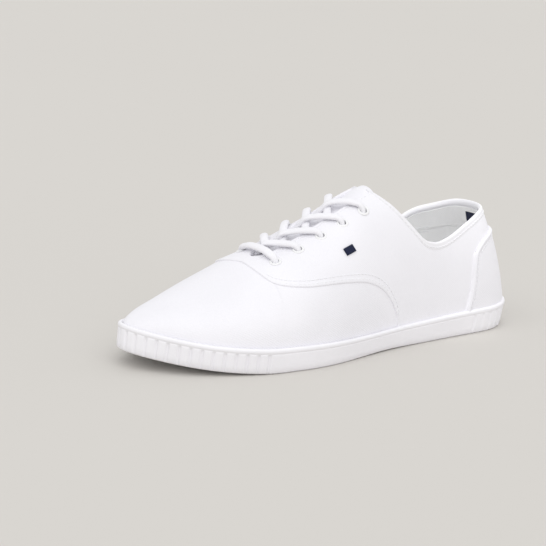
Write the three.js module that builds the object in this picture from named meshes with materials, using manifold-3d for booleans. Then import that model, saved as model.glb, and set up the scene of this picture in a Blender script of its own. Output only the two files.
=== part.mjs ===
// Low canvas lace-up shoe for the left foot, in millimetres, toe along +X, outer side along +Y, up +Z.
// The shoe stands on its sole. The origin is at the middle of the rubber's outline, on the ground.
import * as THREE from 'three';
import { mergeVertices } from 'three/addons/utils/BufferGeometryUtils.js';
import Module from 'manifold-3d';

const wasm = await Module();
wasm.setup();

// Driving dimensions of the rubber sole
const SOLE_LENGTH = 264;
const BALL_WIDTH = 98;
const HEEL_WIDTH = 69;
const HEEL_ROUND = 34; // length of the round end behind the heel's full width
const TOE_ROUND = 74; // length of the round end ahead of the ball's full width
const TOE_SPRING = 11; // lift of the underside at the toe tip
const SPRING_LENGTH = 79; // how far behind the tip the lift starts
const ARCH_LIFT = 0.5; // gap under the waist
const RUBBER_HEIGHT = 14.5; // side of the sole at the ball
const RUBBER_WALL = 2.4;
const RUBBER_TUCK = 2.9; // how far the side draws in at the ground
const FLOOR_HEEL = 9;
const FLOOR_FORE = 6.5;
const RIB_PITCH = 6.4;
const GROOVE_WIDTH = 1.7;
const GROOVE_DEPTH = 0.8;
const RIBS_AT_TOE = 90; // stretch of ribbed side, back from the tip
const RIBS_AT_HEEL = 45; // stretch of ribbed side, forward from the heel

// Driving dimensions of the canvas upper and what is sewn to it
const HEEL_COLLAR = 72.5; // height of the collar at the back
const INSTEP_HEIGHT = 89.5; // height of the crown at the top of the throat
const HEEL_LEAN = 17; // how far the collar leans forward of the heel's foot
const LEAN_FADE = 100; // stretch over which that lean dies out, forward from the heel
const CREST_ROUND = 19; // length of the blunt end of the toe box
const CANVAS = 1.6;
const LAP_STEP = 0.6; // the quarter lies on the vamp by this much
const THROAT_BASE = 50; // the throat's closed end, ahead of the origin
const THROAT_TOP = -25; // corner where the collar meets the throat
const THROAT_ROUND = 9; // length of the throat's rounded end
const THROAT_HALF = 8; // half the throat's opening at its top
const EYELET_ROWS = 5;
const EYELET_FIRST = 45.7; // distance of the first row ahead of the origin
const EYELET_PITCH = 15.0;
const EYELET_SPREAD = 16.4; // each eyelet's distance from the crown line
const EYELET_HOLE = 4.0;
const EYELET_BARREL = 4.9;
const EYELET_FLANGE = 7.0;
const FLANGE_HEIGHT = 0.7;
const BINDING_DEPTH = 4.0;
const BINDING_THICKNESS = 0.5;
const PATCH_THICKNESS = 1.0;
const PATCH_RIDGE = 0.6; // the patch's piped edge stands higher by this much
const PATCH_RIDGE_WIDTH = 2.4;
const PATCH_TOP_DROP = 13.5; // the patch stops this far below the collar
const PATCH_REACH = 46.5; // how far the patch reaches forward at its foot
const TONGUE_THICKNESS = 2.4;
const TONGUE_HALF = 22;
const TONGUE_ROUND = 9; // length of the free end's rounded corners
const TONGUE_TOP = -29; // the tongue's free end, behind the origin
const TONGUE_TOE = 66; // the tongue's sewn end, ahead of the origin
const INSOLE_THICKNESS = 4;
const LACE_WIDTH = 4.6;
const LACE_THICKNESS = 2.2;
const TAB_LENGTH = 7.2;
const TAB_HEIGHT = 4.6;
const TAB_THICKNESS = 0.6;
const TAPE_WIDTH = 14;
const TAPE_LENGTH = 24;
const TAPE_THICKNESS = 0.5;
const TAB_AHEAD = 4.4; // the tab's middle, ahead of the origin
const TAB_UP = 60;

// Clearances
const GAP = 0.3; // between pieces that lie on each other
const BINDING_GAP = 0.4; // between the binding and the edge that it folds over
const LACE_GAP = 0.5; // between a lace and what it lies on
const TONGUE_GAP = 0.6; // between the tongue's sewn end and the canvas over it

// Plan outline of the rubber: full width and sideways shift, as shares of the size in each row
const PLAN = [
  { along: 0.0, of: HEEL_WIDTH, width: 1.0, shift: 0.0 },
  { along: 0.13, of: HEEL_WIDTH, width: 1.0, shift: 0.0 },
  { along: 0.25, of: HEEL_WIDTH, width: 0.99, shift: 0.022 },
  { along: 0.4, of: HEEL_WIDTH, width: 1.01, shift: 0.06 },
  { along: 0.5, of: BALL_WIDTH, width: 0.79, shift: 0.052 },
  { along: 0.6, of: BALL_WIDTH, width: 0.92, shift: 0.035 },
  { along: 0.65, of: BALL_WIDTH, width: 0.965, shift: 0.016 },
  { along: 0.7, of: BALL_WIDTH, width: 0.992, shift: -0.008 },
  { along: 0.75, of: BALL_WIDTH, width: 1.0, shift: -0.024 },
  { along: 0.8, of: BALL_WIDTH, width: 0.978, shift: -0.038 },
  { along: 0.9, of: BALL_WIDTH, width: 0.88, shift: -0.05 },
  { along: 1.0, of: BALL_WIDTH, width: 0.72, shift: -0.07 },
];

// Side of the rubber: its height above the underside, as a share of its height at the ball
const RUBBER_LINE = [
  { along: 0.0, height: 1.13 },
  { along: 0.15, height: 1.04 },
  { along: 0.3, height: 0.96 },
  { along: 0.45, height: 0.86 },
  { along: 0.6, height: 0.95 },
  { along: 0.75, height: 1.0 },
  { along: 0.9, height: 0.97 },
  { along: 1.0, height: 0.97 },
];

// Profile of the rubber's side: rise as a share of its height, tuck as a share of RUBBER_TUCK
const SIDE = [
  { rise: 0.0, tuck: 1.0, ribbed: false },
  { rise: 0.07, tuck: 0.68, ribbed: true },
  { rise: 0.77, tuck: 0.2, ribbed: true },
  { rise: 0.8, tuck: 0.24, ribbed: false },
  { rise: 0.86, tuck: 0.0, ribbed: false },
  { rise: 1.0, tuck: 0.3, ribbed: false },
];

// Sections of the last: crest above the rubber line as a share of INSTEP_HEIGHT, fullness of the
// curve from foot to crest, and the crest's sideways place as a share of the half width
const LAST = [
  { along: 0.0, crest: 0.8, full: 2.3, skew: 0.0 },
  { along: 0.13, crest: 0.82, full: 2.3, skew: 0.0 },
  { along: 0.27, crest: 0.89, full: 2.25, skew: -0.02 },
  { along: 0.36, crest: 0.885, full: 2.2, skew: -0.05 },
  { along: 0.405, crest: 0.852, full: 2.2, skew: -0.07 },
  { along: 0.455, crest: 0.8, full: 2.2, skew: -0.08 },
  { along: 0.513, crest: 0.715, full: 2.2, skew: -0.08 },
  { along: 0.568, crest: 0.633, full: 2.2, skew: -0.06 },
  { along: 0.625, crest: 0.546, full: 2.2, skew: -0.04 },
  { along: 0.68, crest: 0.478, full: 2.2, skew: -0.01 },
  { along: 0.71, crest: 0.443, full: 2.2, skew: 0.0 },
  { along: 0.75, crest: 0.388, full: 2.2, skew: 0.01 },
  { along: 0.8, crest: 0.318, full: 2.25, skew: 0.01 },
  { along: 0.85, crest: 0.25, full: 2.3, skew: 0.0 },
  { along: 0.906, crest: 0.178, full: 2.35, skew: 0.0 },
  { along: 0.95, crest: 0.125, full: 2.4, skew: 0.0 },
  { along: 1.0, crest: 0.08, full: 2.4, skew: 0.0 },
];

// Collar line from the heel to the throat's corner: its height as shares of HEEL_COLLAR at the
// back and of the crown's own height at the front
const COLLAR = [
  { along: 0.0, heel: 1.0, crown: 0.0 },
  { along: 0.032, heel: 0.992, crown: 0.0 },
  { along: 0.083, heel: 0.96, crown: 0.0 },
  { along: 0.136, heel: 0.905, crown: 0.0 },
  { along: 0.21, heel: 0.82, crown: 0.0 },
  { along: 0.26, heel: 0.797, crown: 0.0 },
  { along: 0.3, heel: 0.84, crown: 0.0 },
  { along: 0.335, heel: 0.0, crown: 0.756 },
  { along: 0.375, heel: 0.0, crown: 0.893 },
  { along: 0.405, heel: 0.0, crown: 0.995 },
];

// Seam where the quarter laps over the vamp, seen from the side: places as shares of half
// SOLE_LENGTH ahead of the origin, and heights as shares of INSTEP_HEIGHT
const LAP_SEAM = [
  { ahead: 0.428, height: 0.693 },
  { ahead: 0.436, height: 0.592 },
  { ahead: 0.442, height: 0.573 },
  { ahead: 0.441, height: 0.545 },
  { ahead: 0.427, height: 0.522 },
  { ahead: 0.398, height: 0.507 },
  { ahead: 0.364, height: 0.499 },
  { ahead: 0.310, height: 0.494 },
  { ahead: 0.183, height: 0.495 },
  { ahead: 0.061, height: 0.487 },
  { ahead: -0.032, height: 0.469 },
  { ahead: -0.088, height: 0.440 },
  { ahead: -0.139, height: 0.391 },
  { ahead: -0.183, height: 0.317 },
  { ahead: -0.217, height: 0.225 },
  { ahead: -0.235, height: 0.112 },
];

// Front edge of the heel cap seen from the side, from its foot up: shares of PATCH_REACH and of
// the cap's height
const PATCH_EDGE = [
  { ahead: 1.00, height: 0.00 },
  { ahead: 0.99, height: 0.03 },
  { ahead: 0.94, height: 0.22 },
  { ahead: 0.91, height: 0.42 },
  { ahead: 0.89, height: 0.61 },
  { ahead: 0.86, height: 0.74 },
  { ahead: 0.77, height: 0.85 },
  { ahead: 0.60, height: 0.95 },
  { ahead: 0.45, height: 0.99 },
  { ahead: 0.15, height: 1.00 },
];

const HEEL_POWER = 2.2;
const TOE_POWER = 2.0;
const LEAN_POWER = 1.25;
const LEAN_FADE_POWER = 1.5;
const TURN_STEP = 0.01;
const THROAT_NARROW = 0.72; // opening at the throat's closed end as a share of that at its top
const LENGTH_STEPS = 1200;
const TONGUE_POWER = 3;
const TAPE_ROWS = 4;
const SEAT_DROP = 1.0; // the canvas starts to round in this far below the rubber's top
const COLUMN_ROWS = 7;
const PLAIN_STEP = 12; // spacing of the rubber's stations where it has no ribs
const INSOLE_ROUND = 1;
const PUNCH_LENGTH = 12;
const EYELET_SIDES = 8;
const TONGUE_COLUMNS = 6;
const TONGUE_STEPS = 18;
const TONGUE_NARROW = 0.8; // width of the tongue's sewn end as a share of its free end
const LACE_STEPS = 9;
const LACE_SIDES = 6;
const LACE_LOW = 0.2; // height of the lower leg's middle at a crossing, from the canvas face
const LACE_BITE = 0.15; // how far crossing legs press into each other
const LACE_LEAD = 2.2; // a leg leaves the quarter's edge this far ahead of its row
const FIRST_LEAD = -2.8; // the first legs leave it behind the bar
const LACE_HIDDEN = 2.6; // how far a leg's start lies inside the quarter's edge
const LATERAL = 1;
const MEDIAL = -1;

const mix = (a, b, share) => a + (b - a) * share;
const clamp = (value, low, high) => Math.min(high, Math.max(low, value));
const ease = (share) => share * share * (3 - 2 * share);

// Smooth curve through one column of a table, with slopes taken from the neighbouring rows
function curve(rows, column) {
  const at = rows.map((row) => row.along);
  const value = rows.map((row) => row[column]);
  const rise = (k) => (value[k + 1] - value[k]) / (at[k + 1] - at[k]);
  const slope = rows.map((_, k) => {
    if (k === 0) return rise(0);
    if (k === rows.length - 1) return rise(k - 1);
    const before = at[k] - at[k - 1];
    const after = at[k + 1] - at[k];
    return (rise(k - 1) * after + rise(k) * before) / (before + after);
  });
  return (along) => {
    const place = clamp(along, at[0], at[at.length - 1]);
    let k = 0;
    while (k < at.length - 2 && place > at[k + 1]) k += 1;
    const span = at[k + 1] - at[k];
    const s = (place - at[k]) / span;
    const left = value[k] * (1 + 2 * s) + slope[k] * span * s;
    const right = value[k + 1] * (3 - 2 * s) - slope[k + 1] * span * (1 - s);
    return left * (1 - s) ** 2 + right * s ** 2;
  };
}

// Blunt end: 1 away from the end, falling to 0 at it along a superellipse
function blunt(distance, round, power) {
  if (distance >= round) return 1;
  return (1 - (1 - Math.max(distance, 0) / round) ** power) ** (1 / power);
}

const sizedRows = (column) => PLAN.map((row) => ({ along: row.along, value: row.of * row[column] }));
const sized = (column) => curve(sizedRows(column), 'value');
const planWidth = sized('width');
const planShift = sized('shift');
const rubberShare = curve(RUBBER_LINE, 'height');
const crestShare = curve(LAST, 'crest');
const fullness = curve(LAST, 'full');
const skew = curve(LAST, 'skew');
const heelShare = curve(COLLAR, 'heel');
const crownShare = curve(COLLAR, 'crown');

const alongOf = (x) => x / SOLE_LENGTH + 0.5;
const rubberTop = (along) => RUBBER_HEIGHT * rubberShare(along);
const floorTop = (along) => mix(FLOOR_HEEL, FLOOR_FORE, ease(clamp((along - 0.3) / 0.3, 0, 1)));

// Underside of the sole: level under heel and ball, raised at the waist, sprung at the toe
const SPRING_START = SOLE_LENGTH / 2 - SPRING_LENGTH;
const ARCH_BACK = -0.2 * SOLE_LENGTH;
const ARCH_FRONT = 0.06 * SOLE_LENGTH;
const springShare = (x) => clamp((x - SPRING_START) / SPRING_LENGTH, 0, 1.1);
function underside(x) {
  const arch = clamp((x - ARCH_BACK) / (ARCH_FRONT - ARCH_BACK), 0, 1);
  return TOE_SPRING * springShare(x) ** 2 + ARCH_LIFT * Math.sin(Math.PI * arch) ** 2;
}

// Carries a point of the flat shoe, height above its underside, to the sprung shoe
function bend(x, y, height) {
  const tilt = Math.atan((2 * TOE_SPRING * springShare(x)) / SPRING_LENGTH);
  const lift = underside(x);
  return new THREE.Vector3(x - height * Math.sin(tilt), y, lift + height * Math.cos(tilt));
}

// Rubber outline drawn in by inset: distance ahead, middle and half width at a share of its length
function outline(along, inset) {
  const length = SOLE_LENGTH - 2 * inset;
  const ends = blunt(along * SOLE_LENGTH, HEEL_ROUND, HEEL_POWER)
    * blunt((1 - along) * SOLE_LENGTH, TOE_ROUND, TOE_POWER);
  const half = (planWidth(along) / 2 - inset) * ends;
  return { x: (along - 0.5) * length, middle: planShift(along), half };
}

// The canvas stands inside the rubber wall; out counts outward from its outer face
const CANVAS_INSET = RUBBER_WALL + GAP;

function lastFrame(along, out) {
  const { x, middle, half } = outline(along, CANVAS_INSET - out);
  const seat = rubberTop(along) - SEAT_DROP;
  const blend = blunt((1 - along) * SOLE_LENGTH, CREST_ROUND, TOE_POWER);
  const crest = (INSTEP_HEIGHT * crestShare(along) + out) * blend;
  return { x, middle, half, seat, crest, full: fullness(along), crown: middle + skew(along) * half };
}

// Forward lean of the back of the shoe at a height
function lean(x, height, seat) {
  const fade = clamp(1 - (x + SOLE_LENGTH / 2) / LEAN_FADE, 0, 1) ** LEAN_FADE_POWER;
  const rise = Math.max(height - seat, 0) / (HEEL_COLLAR - RUBBER_HEIGHT);
  return HEEL_LEAN * fade * rise ** LEAN_POWER;
}

// Point on the last at a share of the way along, side, height above the underside
function onLast(along, side, height, out = 0) {
  const frame = lastFrame(along, out);
  const rise = clamp((height - frame.seat) / Math.max(frame.crest, 1e-6), 0, 1);
  const reach = (1 - rise ** frame.full) ** (1 / frame.full);
  const edge = frame.middle + side * frame.half;
  const y = frame.crown + (edge - frame.crown) * reach;
  return bend(frame.x + lean(frame.x, height, frame.seat), y, height);
}

// Point on a section's rounded part, at a turn from its foot, a quarter turn being the crest
function onSection(along, side, turn, out = 0) {
  const frame = lastFrame(along, out);
  const height = frame.seat + frame.crest * Math.sin(turn) ** (2 / frame.full);
  const reach = Math.max(Math.cos(turn), 0) ** (2 / frame.full);
  const edge = frame.middle + side * frame.half;
  const y = frame.crown + (edge - frame.crown) * reach;
  return bend(frame.x + lean(frame.x, height, frame.seat), y, height);
}

// Height of the last at a distance from the crown line
function heightAcross(along, side, across, out = 0) {
  const frame = lastFrame(along, out);
  const span = Math.max(Math.abs(frame.middle + side * frame.half - frame.crown), 1e-6);
  const share = clamp(across / span, 0, 1);
  return frame.seat + frame.crest * (1 - share ** frame.full) ** (1 / frame.full);
}

// Point on the last at a signed distance from the crown line, outer side positive
function acrossLast(along, across, out = 0) {
  const frame = lastFrame(along, out);
  const side = across < 0 ? MEDIAL : LATERAL;
  const height = heightAcross(along, side, Math.abs(across), out);
  return bend(frame.x + lean(frame.x, height, frame.seat), frame.crown + across, height);
}

const THROAT_BASE_ALONG = alongOf(THROAT_BASE);
const THROAT_TOP_ALONG = alongOf(THROAT_TOP);

// Half opening of the throat at a share of the length
function throatHalf(along) {
  const behind = (THROAT_BASE_ALONG - along) * SOLE_LENGTH;
  const widen = mix(THROAT_NARROW, 1, clamp(behind / (THROAT_BASE - THROAT_TOP), 0, 1));
  return THROAT_HALF * widen * blunt(behind, THROAT_ROUND, 2);
}

// Turn of the upper's edge: collar line behind the throat's corner, throat edge ahead of it, and
// the crest ahead of the throat
function edgeTurn(along, side) {
  if (along >= THROAT_BASE_ALONG) return Math.PI / 2;
  const { middle, half, crown, seat, crest, full } = lastFrame(along, 0);
  if (along < THROAT_TOP_ALONG) {
    const collar = HEEL_COLLAR * heelShare(along) + (seat + crest) * crownShare(along);
    return Math.asin(((collar - seat) / crest) ** (full / 2));
  }
  const span = Math.abs(middle + side * half - crown);
  return Math.acos((throatHalf(along) / span) ** (full / 2));
}

// Length round the section for each radian of turn, next to the free edge
function edgeRate(along, side) {
  const edge = edgeTurn(along, side);
  return onSection(along, side, edge).distanceTo(onSection(along, side, edge - TURN_STEP)) / TURN_STEP;
}

// Point at a distance above the free edge, measured round the section; below it is negative
function fromEdge(along, side, up, out) {
  return onSection(along, side, edgeTurn(along, side) + up / edgeRate(along, side), out);
}

// Closed solid from quads listed as point grids; doubles are welded and empty faces dropped
class Skin {
  constructor() {
    this.points = [];
  }

  // Adds a grid of points, rows of equal length, facing the side from which rows run
  // anticlockwise after columns
  grid(rows) {
    for (let i = 0; i + 1 < rows.length; i += 1) {
      for (let j = 0; j + 1 < rows[i].length; j += 1) {
        const [a, b, c, d] = [rows[i][j], rows[i + 1][j], rows[i + 1][j + 1], rows[i][j + 1]];
        this.points.push(a, b, c, a, c, d);
      }
    }
    return this;
  }

  geometry() {
    const position = new Float32Array(this.points.flatMap((p) => [p.x, p.y, p.z]));
    const soup = new THREE.BufferGeometry();
    soup.setAttribute('position', new THREE.BufferAttribute(position, 3));
    return weld(soup);
  }
}

// Merges shared vertices and leaves out faces without area
function weld(geometry) {
  const bare = new THREE.BufferGeometry();
  bare.setAttribute('position', geometry.getAttribute('position'));
  bare.setIndex(geometry.getIndex());
  const merged = mergeVertices(bare, 1e-3);
  const index = merged.getIndex().array;
  const kept = [];
  for (let k = 0; k < index.length; k += 3) {
    const [a, b, c] = [index[k], index[k + 1], index[k + 2]];
    if (a !== b && b !== c && c !== a) kept.push(a, b, c);
  }
  merged.setIndex(kept);
  return merged;
}

function toManifold(geometry) {
  const welded = weld(geometry);
  return new wasm.Manifold(new wasm.Mesh({
    numProp: 3,
    vertProperties: new Float32Array(welded.getAttribute('position').array),
    triVerts: new Uint32Array(welded.getIndex().array),
  }));
}

function fromManifold(solid) {
  const mesh = solid.getMesh();
  const geometry = new THREE.BufferGeometry();
  geometry.setAttribute('position', new THREE.BufferAttribute(new Float32Array(mesh.vertProperties), 3));
  geometry.setIndex(Array.from(mesh.triVerts));
  return geometry;
}

// Stations along the shoe, closer at the ends, with some added in the throat's round
const STATIONS = 30;
const STATION_SPACING = 1.2;
const THROAT_STATIONS = [0, 0.4, 1.6, 4]; // behind the throat's closed end
const CORNER_STATIONS = [0, 1.6, 3.4, 5.8, 9.2, 13.6, 19]; // behind the throat's corner
function stationList() {
  const even = Array.from({ length: STATIONS + 1 }, (_, k) => (1 - Math.cos((Math.PI * k) / STATIONS)) / 2);
  const throat = THROAT_STATIONS.map((back) => THROAT_BASE_ALONG - back / SOLE_LENGTH);
  const corner = CORNER_STATIONS.map((back) => THROAT_TOP_ALONG - back / SOLE_LENGTH);
  const fixed = [...throat, ...corner];
  const clear = (along) => fixed.every((place) => Math.abs(place - along) * SOLE_LENGTH > STATION_SPACING);
  const kept = even.filter(clear);
  return [...kept, ...fixed].sort((a, b) => a - b);
}
const stations = stationList();

// Walks round the shoe: outer side from toe to heel, then inner side from heel to toe
function roundTrip(alongs) {
  const back = [...alongs].sort((a, b) => b - a);
  const there = back.map((along) => ({ along, side: LATERAL }));
  const again = back.slice(0, -1).reverse().map((along) => ({ along, side: MEDIAL }));
  return [...there, ...again];
}

// Column of the canvas from its foot in the sole to its free edge or crest. What stands proud of
// the vamp is thinned by the lap's step where it goes down inside the rubber
function column(along, side, out, below) {
  const thinned = Math.max(out - LAP_STEP, Math.min(out, 0));
  const edge = edgeTurn(along, side);
  const hem = edge - Math.min(BINDING_DEPTH / edgeRate(along, side), edge / COLUMN_ROWS);
  const rounded = Array.from({ length: COLUMN_ROWS - 1 }, (_, k) => (
    onSection(along, side, (hem * (k + 1)) / (COLUMN_ROWS - 1), out)
  ));
  const foot = onLast(along, side, floorTop(along) + GAP - below, thinned);
  return [foot, onSection(along, side, 0, thinned), ...rounded, onSection(along, side, edge, out)];
}

// Shell between two faces of the last, open underneath and along the collar and throat
function shell(inner, outer, below = 0) {
  const walk = roundTrip(stations);
  const face = (out) => walk.map(({ along, side }) => column(along, side, out, below));
  const outside = face(outer);
  const inside = face(inner);
  const last = outside[0].length - 1;
  const foot = walk.map((_, k) => [inside[k][0], outside[k][0]]);
  const edge = walk.map((_, k) => [outside[k][last], inside[k][last]]);
  return new Skin().grid(outside).grid(foot).grid(edge)
    .grid(inside.map((points) => [...points].reverse())).geometry();
}

// Ribs round the rubber: distances from the tip or the heel, measured along the outer side
function sideLengths() {
  const lengths = [{ along: 0, far: 0 }];
  let before = outline(0, 0);
  for (let k = 1; k <= LENGTH_STEPS; k += 1) {
    const along = (1 - Math.cos((Math.PI * k) / LENGTH_STEPS)) / 2;
    const here = outline(along, 0);
    const step = Math.hypot(here.x - before.x, here.middle + here.half - before.middle - before.half);
    lengths.push({ along, far: lengths[k - 1].far + step });
    before = here;
  }
  return lengths;
}

function alongAt(lengths, far) {
  const k = clamp(lengths.findIndex((row) => row.far >= far), 1, lengths.length - 1);
  const [a, b] = [lengths[k - 1], lengths[k]];
  return mix(a.along, b.along, clamp((far - a.far) / (b.far - a.far), 0, 1));
}

// Stations of the rubber's side: three to a groove where it is ribbed, wider steps between
function rubberStations() {
  const lengths = sideLengths();
  const whole = lengths[lengths.length - 1].far;
  const grooves = (stretch) => {
    const count = Math.floor(stretch / RIB_PITCH);
    return Array.from({ length: count }, (_, k) => (k + 0.5) * RIB_PITCH);
  };
  const heel = grooves(RIBS_AT_HEEL);
  const toe = grooves(RIBS_AT_TOE).map((far) => whole - far).reverse();
  const cut = (far) => [
    { far: far - GROOVE_WIDTH / 2, groove: false },
    { far, groove: true },
    { far: far + GROOVE_WIDTH / 2, groove: false },
  ];
  const from = heel[heel.length - 1] + RIB_PITCH / 2;
  const to = toe[0] - RIB_PITCH / 2;
  const plain = Math.round((to - from) / PLAIN_STEP);
  const between = Array.from({ length: plain + 1 }, (_, k) => (
    { far: mix(from, to, k / plain), groove: false }
  ));
  const ends = [{ far: 0, groove: false }, { far: whole, groove: false }];
  return [ends[0], ...heel.flatMap(cut), ...between, ...toe.flatMap(cut), ends[1]]
    .map(({ far, groove }) => ({ along: alongAt(lengths, far), groove }));
}

// Ring of points round the shoe at an inset and height, from the toe along the outer side
function ring(steps, insetOf, heightOf) {
  const place = (step, side) => {
    const { x, middle, half } = outline(step.along, insetOf(step));
    return bend(x, middle + side * half, heightOf(step.along));
  };
  const back = [...steps].reverse();
  return {
    outer: back.map((step) => place(step, LATERAL)),
    inner: back.map((step) => place(step, MEDIAL)),
  };
}

const loop = ({ outer, inner }) => [...outer, ...[...inner].reverse().slice(1)];

// Solid bounded by rings from the underside up, round and in to the upper face
function ringSolid(rings) {
  const loops = rings.map(loop);
  const walls = loops[0].map((_, k) => loops.map((points) => points[k]));
  const below = rings[0].outer.map((point, k) => [rings[0].inner[k], point]);
  const above = rings[rings.length - 1].outer.map((point, k) => [point, rings[rings.length - 1].inner[k]]);
  return new Skin().grid(walls).grid(below).grid(above).geometry();
}

function soleGeometry() {
  const steps = rubberStations();
  const side = SIDE.map(({ rise, tuck, ribbed }) => ring(
    steps,
    ({ groove }) => tuck * RUBBER_TUCK + (groove && ribbed ? GROOVE_DEPTH : 0),
    (along) => rise * rubberTop(along),
  ));
  const rim = ring(steps, () => RUBBER_WALL, rubberTop);
  const floor = ring(steps, () => RUBBER_WALL, floorTop);
  return ringSolid([...side, rim, floor]);
}

function insoleGeometry() {
  const steps = stations.map((along) => ({ along }));
  const inset = CANVAS_INSET + CANVAS + GAP;
  const under = ring(steps, () => inset, (along) => floorTop(along) + GAP);
  const waist = ring(steps, () => inset, (along) => floorTop(along) + GAP + INSOLE_THICKNESS - INSOLE_ROUND);
  const top = ring(steps, () => inset + INSOLE_ROUND, (along) => floorTop(along) + GAP + INSOLE_THICKNESS);
  return ringSolid([under, waist, top]);
}

// Prism seen from the side: an outline of places ahead and heights, run across the whole shoe
function sidePrism(points) {
  const shape = new THREE.Shape(points.map(([x, z]) => new THREE.Vector2(x, z)));
  const depth = 2 * BALL_WIDTH;
  const geometry = new THREE.ExtrudeGeometry(shape, { depth, bevelEnabled: false });
  geometry.rotateX(Math.PI / 2).translate(0, depth / 2, 0);
  return toManifold(geometry);
}

const seamPoints = LAP_SEAM.map(({ ahead, height }) => [(ahead * SOLE_LENGTH) / 2, height * INSTEP_HEIGHT]);

function eyeletPlace(row, side) {
  const x = EYELET_FIRST - row * EYELET_PITCH;
  return { along: alongOf(x), across: side * EYELET_SPREAD };
}

// Point and outward direction on the quarter's face
function quarterFrame({ along, across }, out) {
  const step = 1 / SOLE_LENGTH;
  const point = acrossLast(along, across, out);
  const ahead = acrossLast(along + step, across, out).sub(acrossLast(along - step, across, out));
  const left = acrossLast(along, across + 1, out).sub(acrossLast(along, across - 1, out));
  return { point, ahead: ahead.clone().normalize(), normal: ahead.cross(left).normalize() };
}

function eyeletHole(row, side) {
  const { point, normal } = quarterFrame(eyeletPlace(row, side), LAP_STEP);
  const punch = new THREE.CylinderGeometry(
    EYELET_BARREL / 2 + GAP, EYELET_BARREL / 2 + GAP, PUNCH_LENGTH, EYELET_SIDES,
  );
  punch.applyQuaternion(new THREE.Quaternion().setFromUnitVectors(new THREE.Vector3(0, 1, 0), normal));
  punch.translate(point.x, point.y, point.z);
  return toManifold(punch);
}

// Hollow upper: as thick as the quarter, with the vamp ahead of the seam taken down by the lap
function upperGeometry() {
  const high = 2 * INSTEP_HEIGHT;
  const low = -INSTEP_HEIGHT;
  const [top, foot] = [seamPoints[0][0], seamPoints[seamPoints.length - 1][0]];
  const vamp = sidePrism([...seamPoints, [foot, low], [SOLE_LENGTH, low], [SOLE_LENGTH, high], [top, high]]);
  const lap = toManifold(shell(0, 4 * LAP_STEP, FLOOR_HEEL)).intersect(vamp);
  let upper = toManifold(shell(-CANVAS, LAP_STEP)).subtract(lap);
  for (let row = 0; row < EYELET_ROWS; row += 1) {
    upper = upper.subtract(eyeletHole(row, LATERAL)).subtract(eyeletHole(row, MEDIAL));
  }
  return fromManifold(upper);
}

// The cap's outline seen from the side, its front edge drawn back by a width
function patchOutline(back) {
  const foot = rubberTop(0) + GAP;
  const top = HEEL_COLLAR - PATCH_TOP_DROP - back;
  const front = PATCH_EDGE.map(({ ahead, height }) => [
    ahead * PATCH_REACH - SOLE_LENGTH / 2 - back,
    mix(foot, top, height),
  ]);
  return [...front, [-SOLE_LENGTH, top], [-SOLE_LENGTH, foot]];
}

// Cap behind the heel: a thin field inside a raised, piped edge
function patchGeometry() {
  const face = LAP_STEP + GAP;
  const field = sidePrism(patchOutline(PATCH_RIDGE_WIDTH));
  const whole = sidePrism(patchOutline(0));
  const layer = (thickness) => toManifold(shell(face, face + thickness)).intersect(whole);
  const plate = layer(PATCH_THICKNESS);
  const piping = layer(PATCH_THICKNESS + PATCH_RIDGE).subtract(field);
  return fromManifold(plate.add(piping));
}

// Solid swept through sections that have the same number of points, each a closed loop
function sweep(sections, capQuads) {
  const skin = new Skin().grid(sections.map((points) => [...points, points[0]]));
  const first = sections[0];
  const last = sections[sections.length - 1];
  for (const [a, b, c, d] of capQuads) {
    skin.grid([[first[a], first[d]], [first[b], first[c]]]);
    skin.grid([[last[a], last[b]], [last[d], last[c]]]);
  }
  return skin.geometry();
}

// Folded tape over the collar's edge, from one corner of the throat round the heel to the other
function bindingGeometry() {
  const outerFace = LAP_STEP + BINDING_GAP;
  const innerFace = -CANVAS - BINDING_GAP;
  const fold = BINDING_THICKNESS;
  const top = BINDING_GAP;
  const profile = [
    [outerFace + fold, -BINDING_DEPTH], [outerFace + fold, top], [outerFace, top + fold],
    [innerFace, top + fold], [innerFace - fold, top], [innerFace - fold, -BINDING_DEPTH],
    [innerFace, -BINDING_DEPTH], [innerFace, top], [outerFace, top], [outerFace, -BINDING_DEPTH],
  ];
  const walk = roundTrip(stations.filter((along) => along <= THROAT_TOP_ALONG));
  const sections = walk.map(({ along, side }) => profile.map(([out, up]) => fromEdge(along, side, up, out)));
  return sweep(sections, [[0, 1, 8, 9], [1, 2, 3, 4], [1, 4, 7, 8], [4, 5, 6, 7]]);
}

// Tongue under the throat: its gap to the canvas opens towards the free end, past the binding
function tongueGeometry() {
  const across = Array.from({ length: TONGUE_COLUMNS + 1 }, (_, k) => 1 - (2 * k) / TONGUE_COLUMNS);
  const row = (k, depth) => {
    const share = k / TONGUE_STEPS;
    const x = mix(TONGUE_TOE, TONGUE_TOP, share);
    const gap = mix(TONGUE_GAP, TONGUE_GAP + GAP + BINDING_THICKNESS, share);
    const rounded = blunt(x - TONGUE_TOP + 1, TONGUE_ROUND, TONGUE_POWER);
    const half = TONGUE_HALF * mix(TONGUE_NARROW, 1, share) * rounded;
    return across.map((place) => acrossLast(alongOf(x), place * half, -CANVAS - gap - depth));
  };
  const rows = Array.from({ length: TONGUE_STEPS + 1 }, (_, k) => k);
  const sections = rows.map((k) => [...row(k, 0), ...row(k, TONGUE_THICKNESS).reverse()]);
  const n = TONGUE_COLUMNS;
  const caps = across.slice(1).map((_, k) => [k, k + 1, 2 * n - k, 2 * n + 1 - k]);
  return sweep(sections, caps);
}

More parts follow.
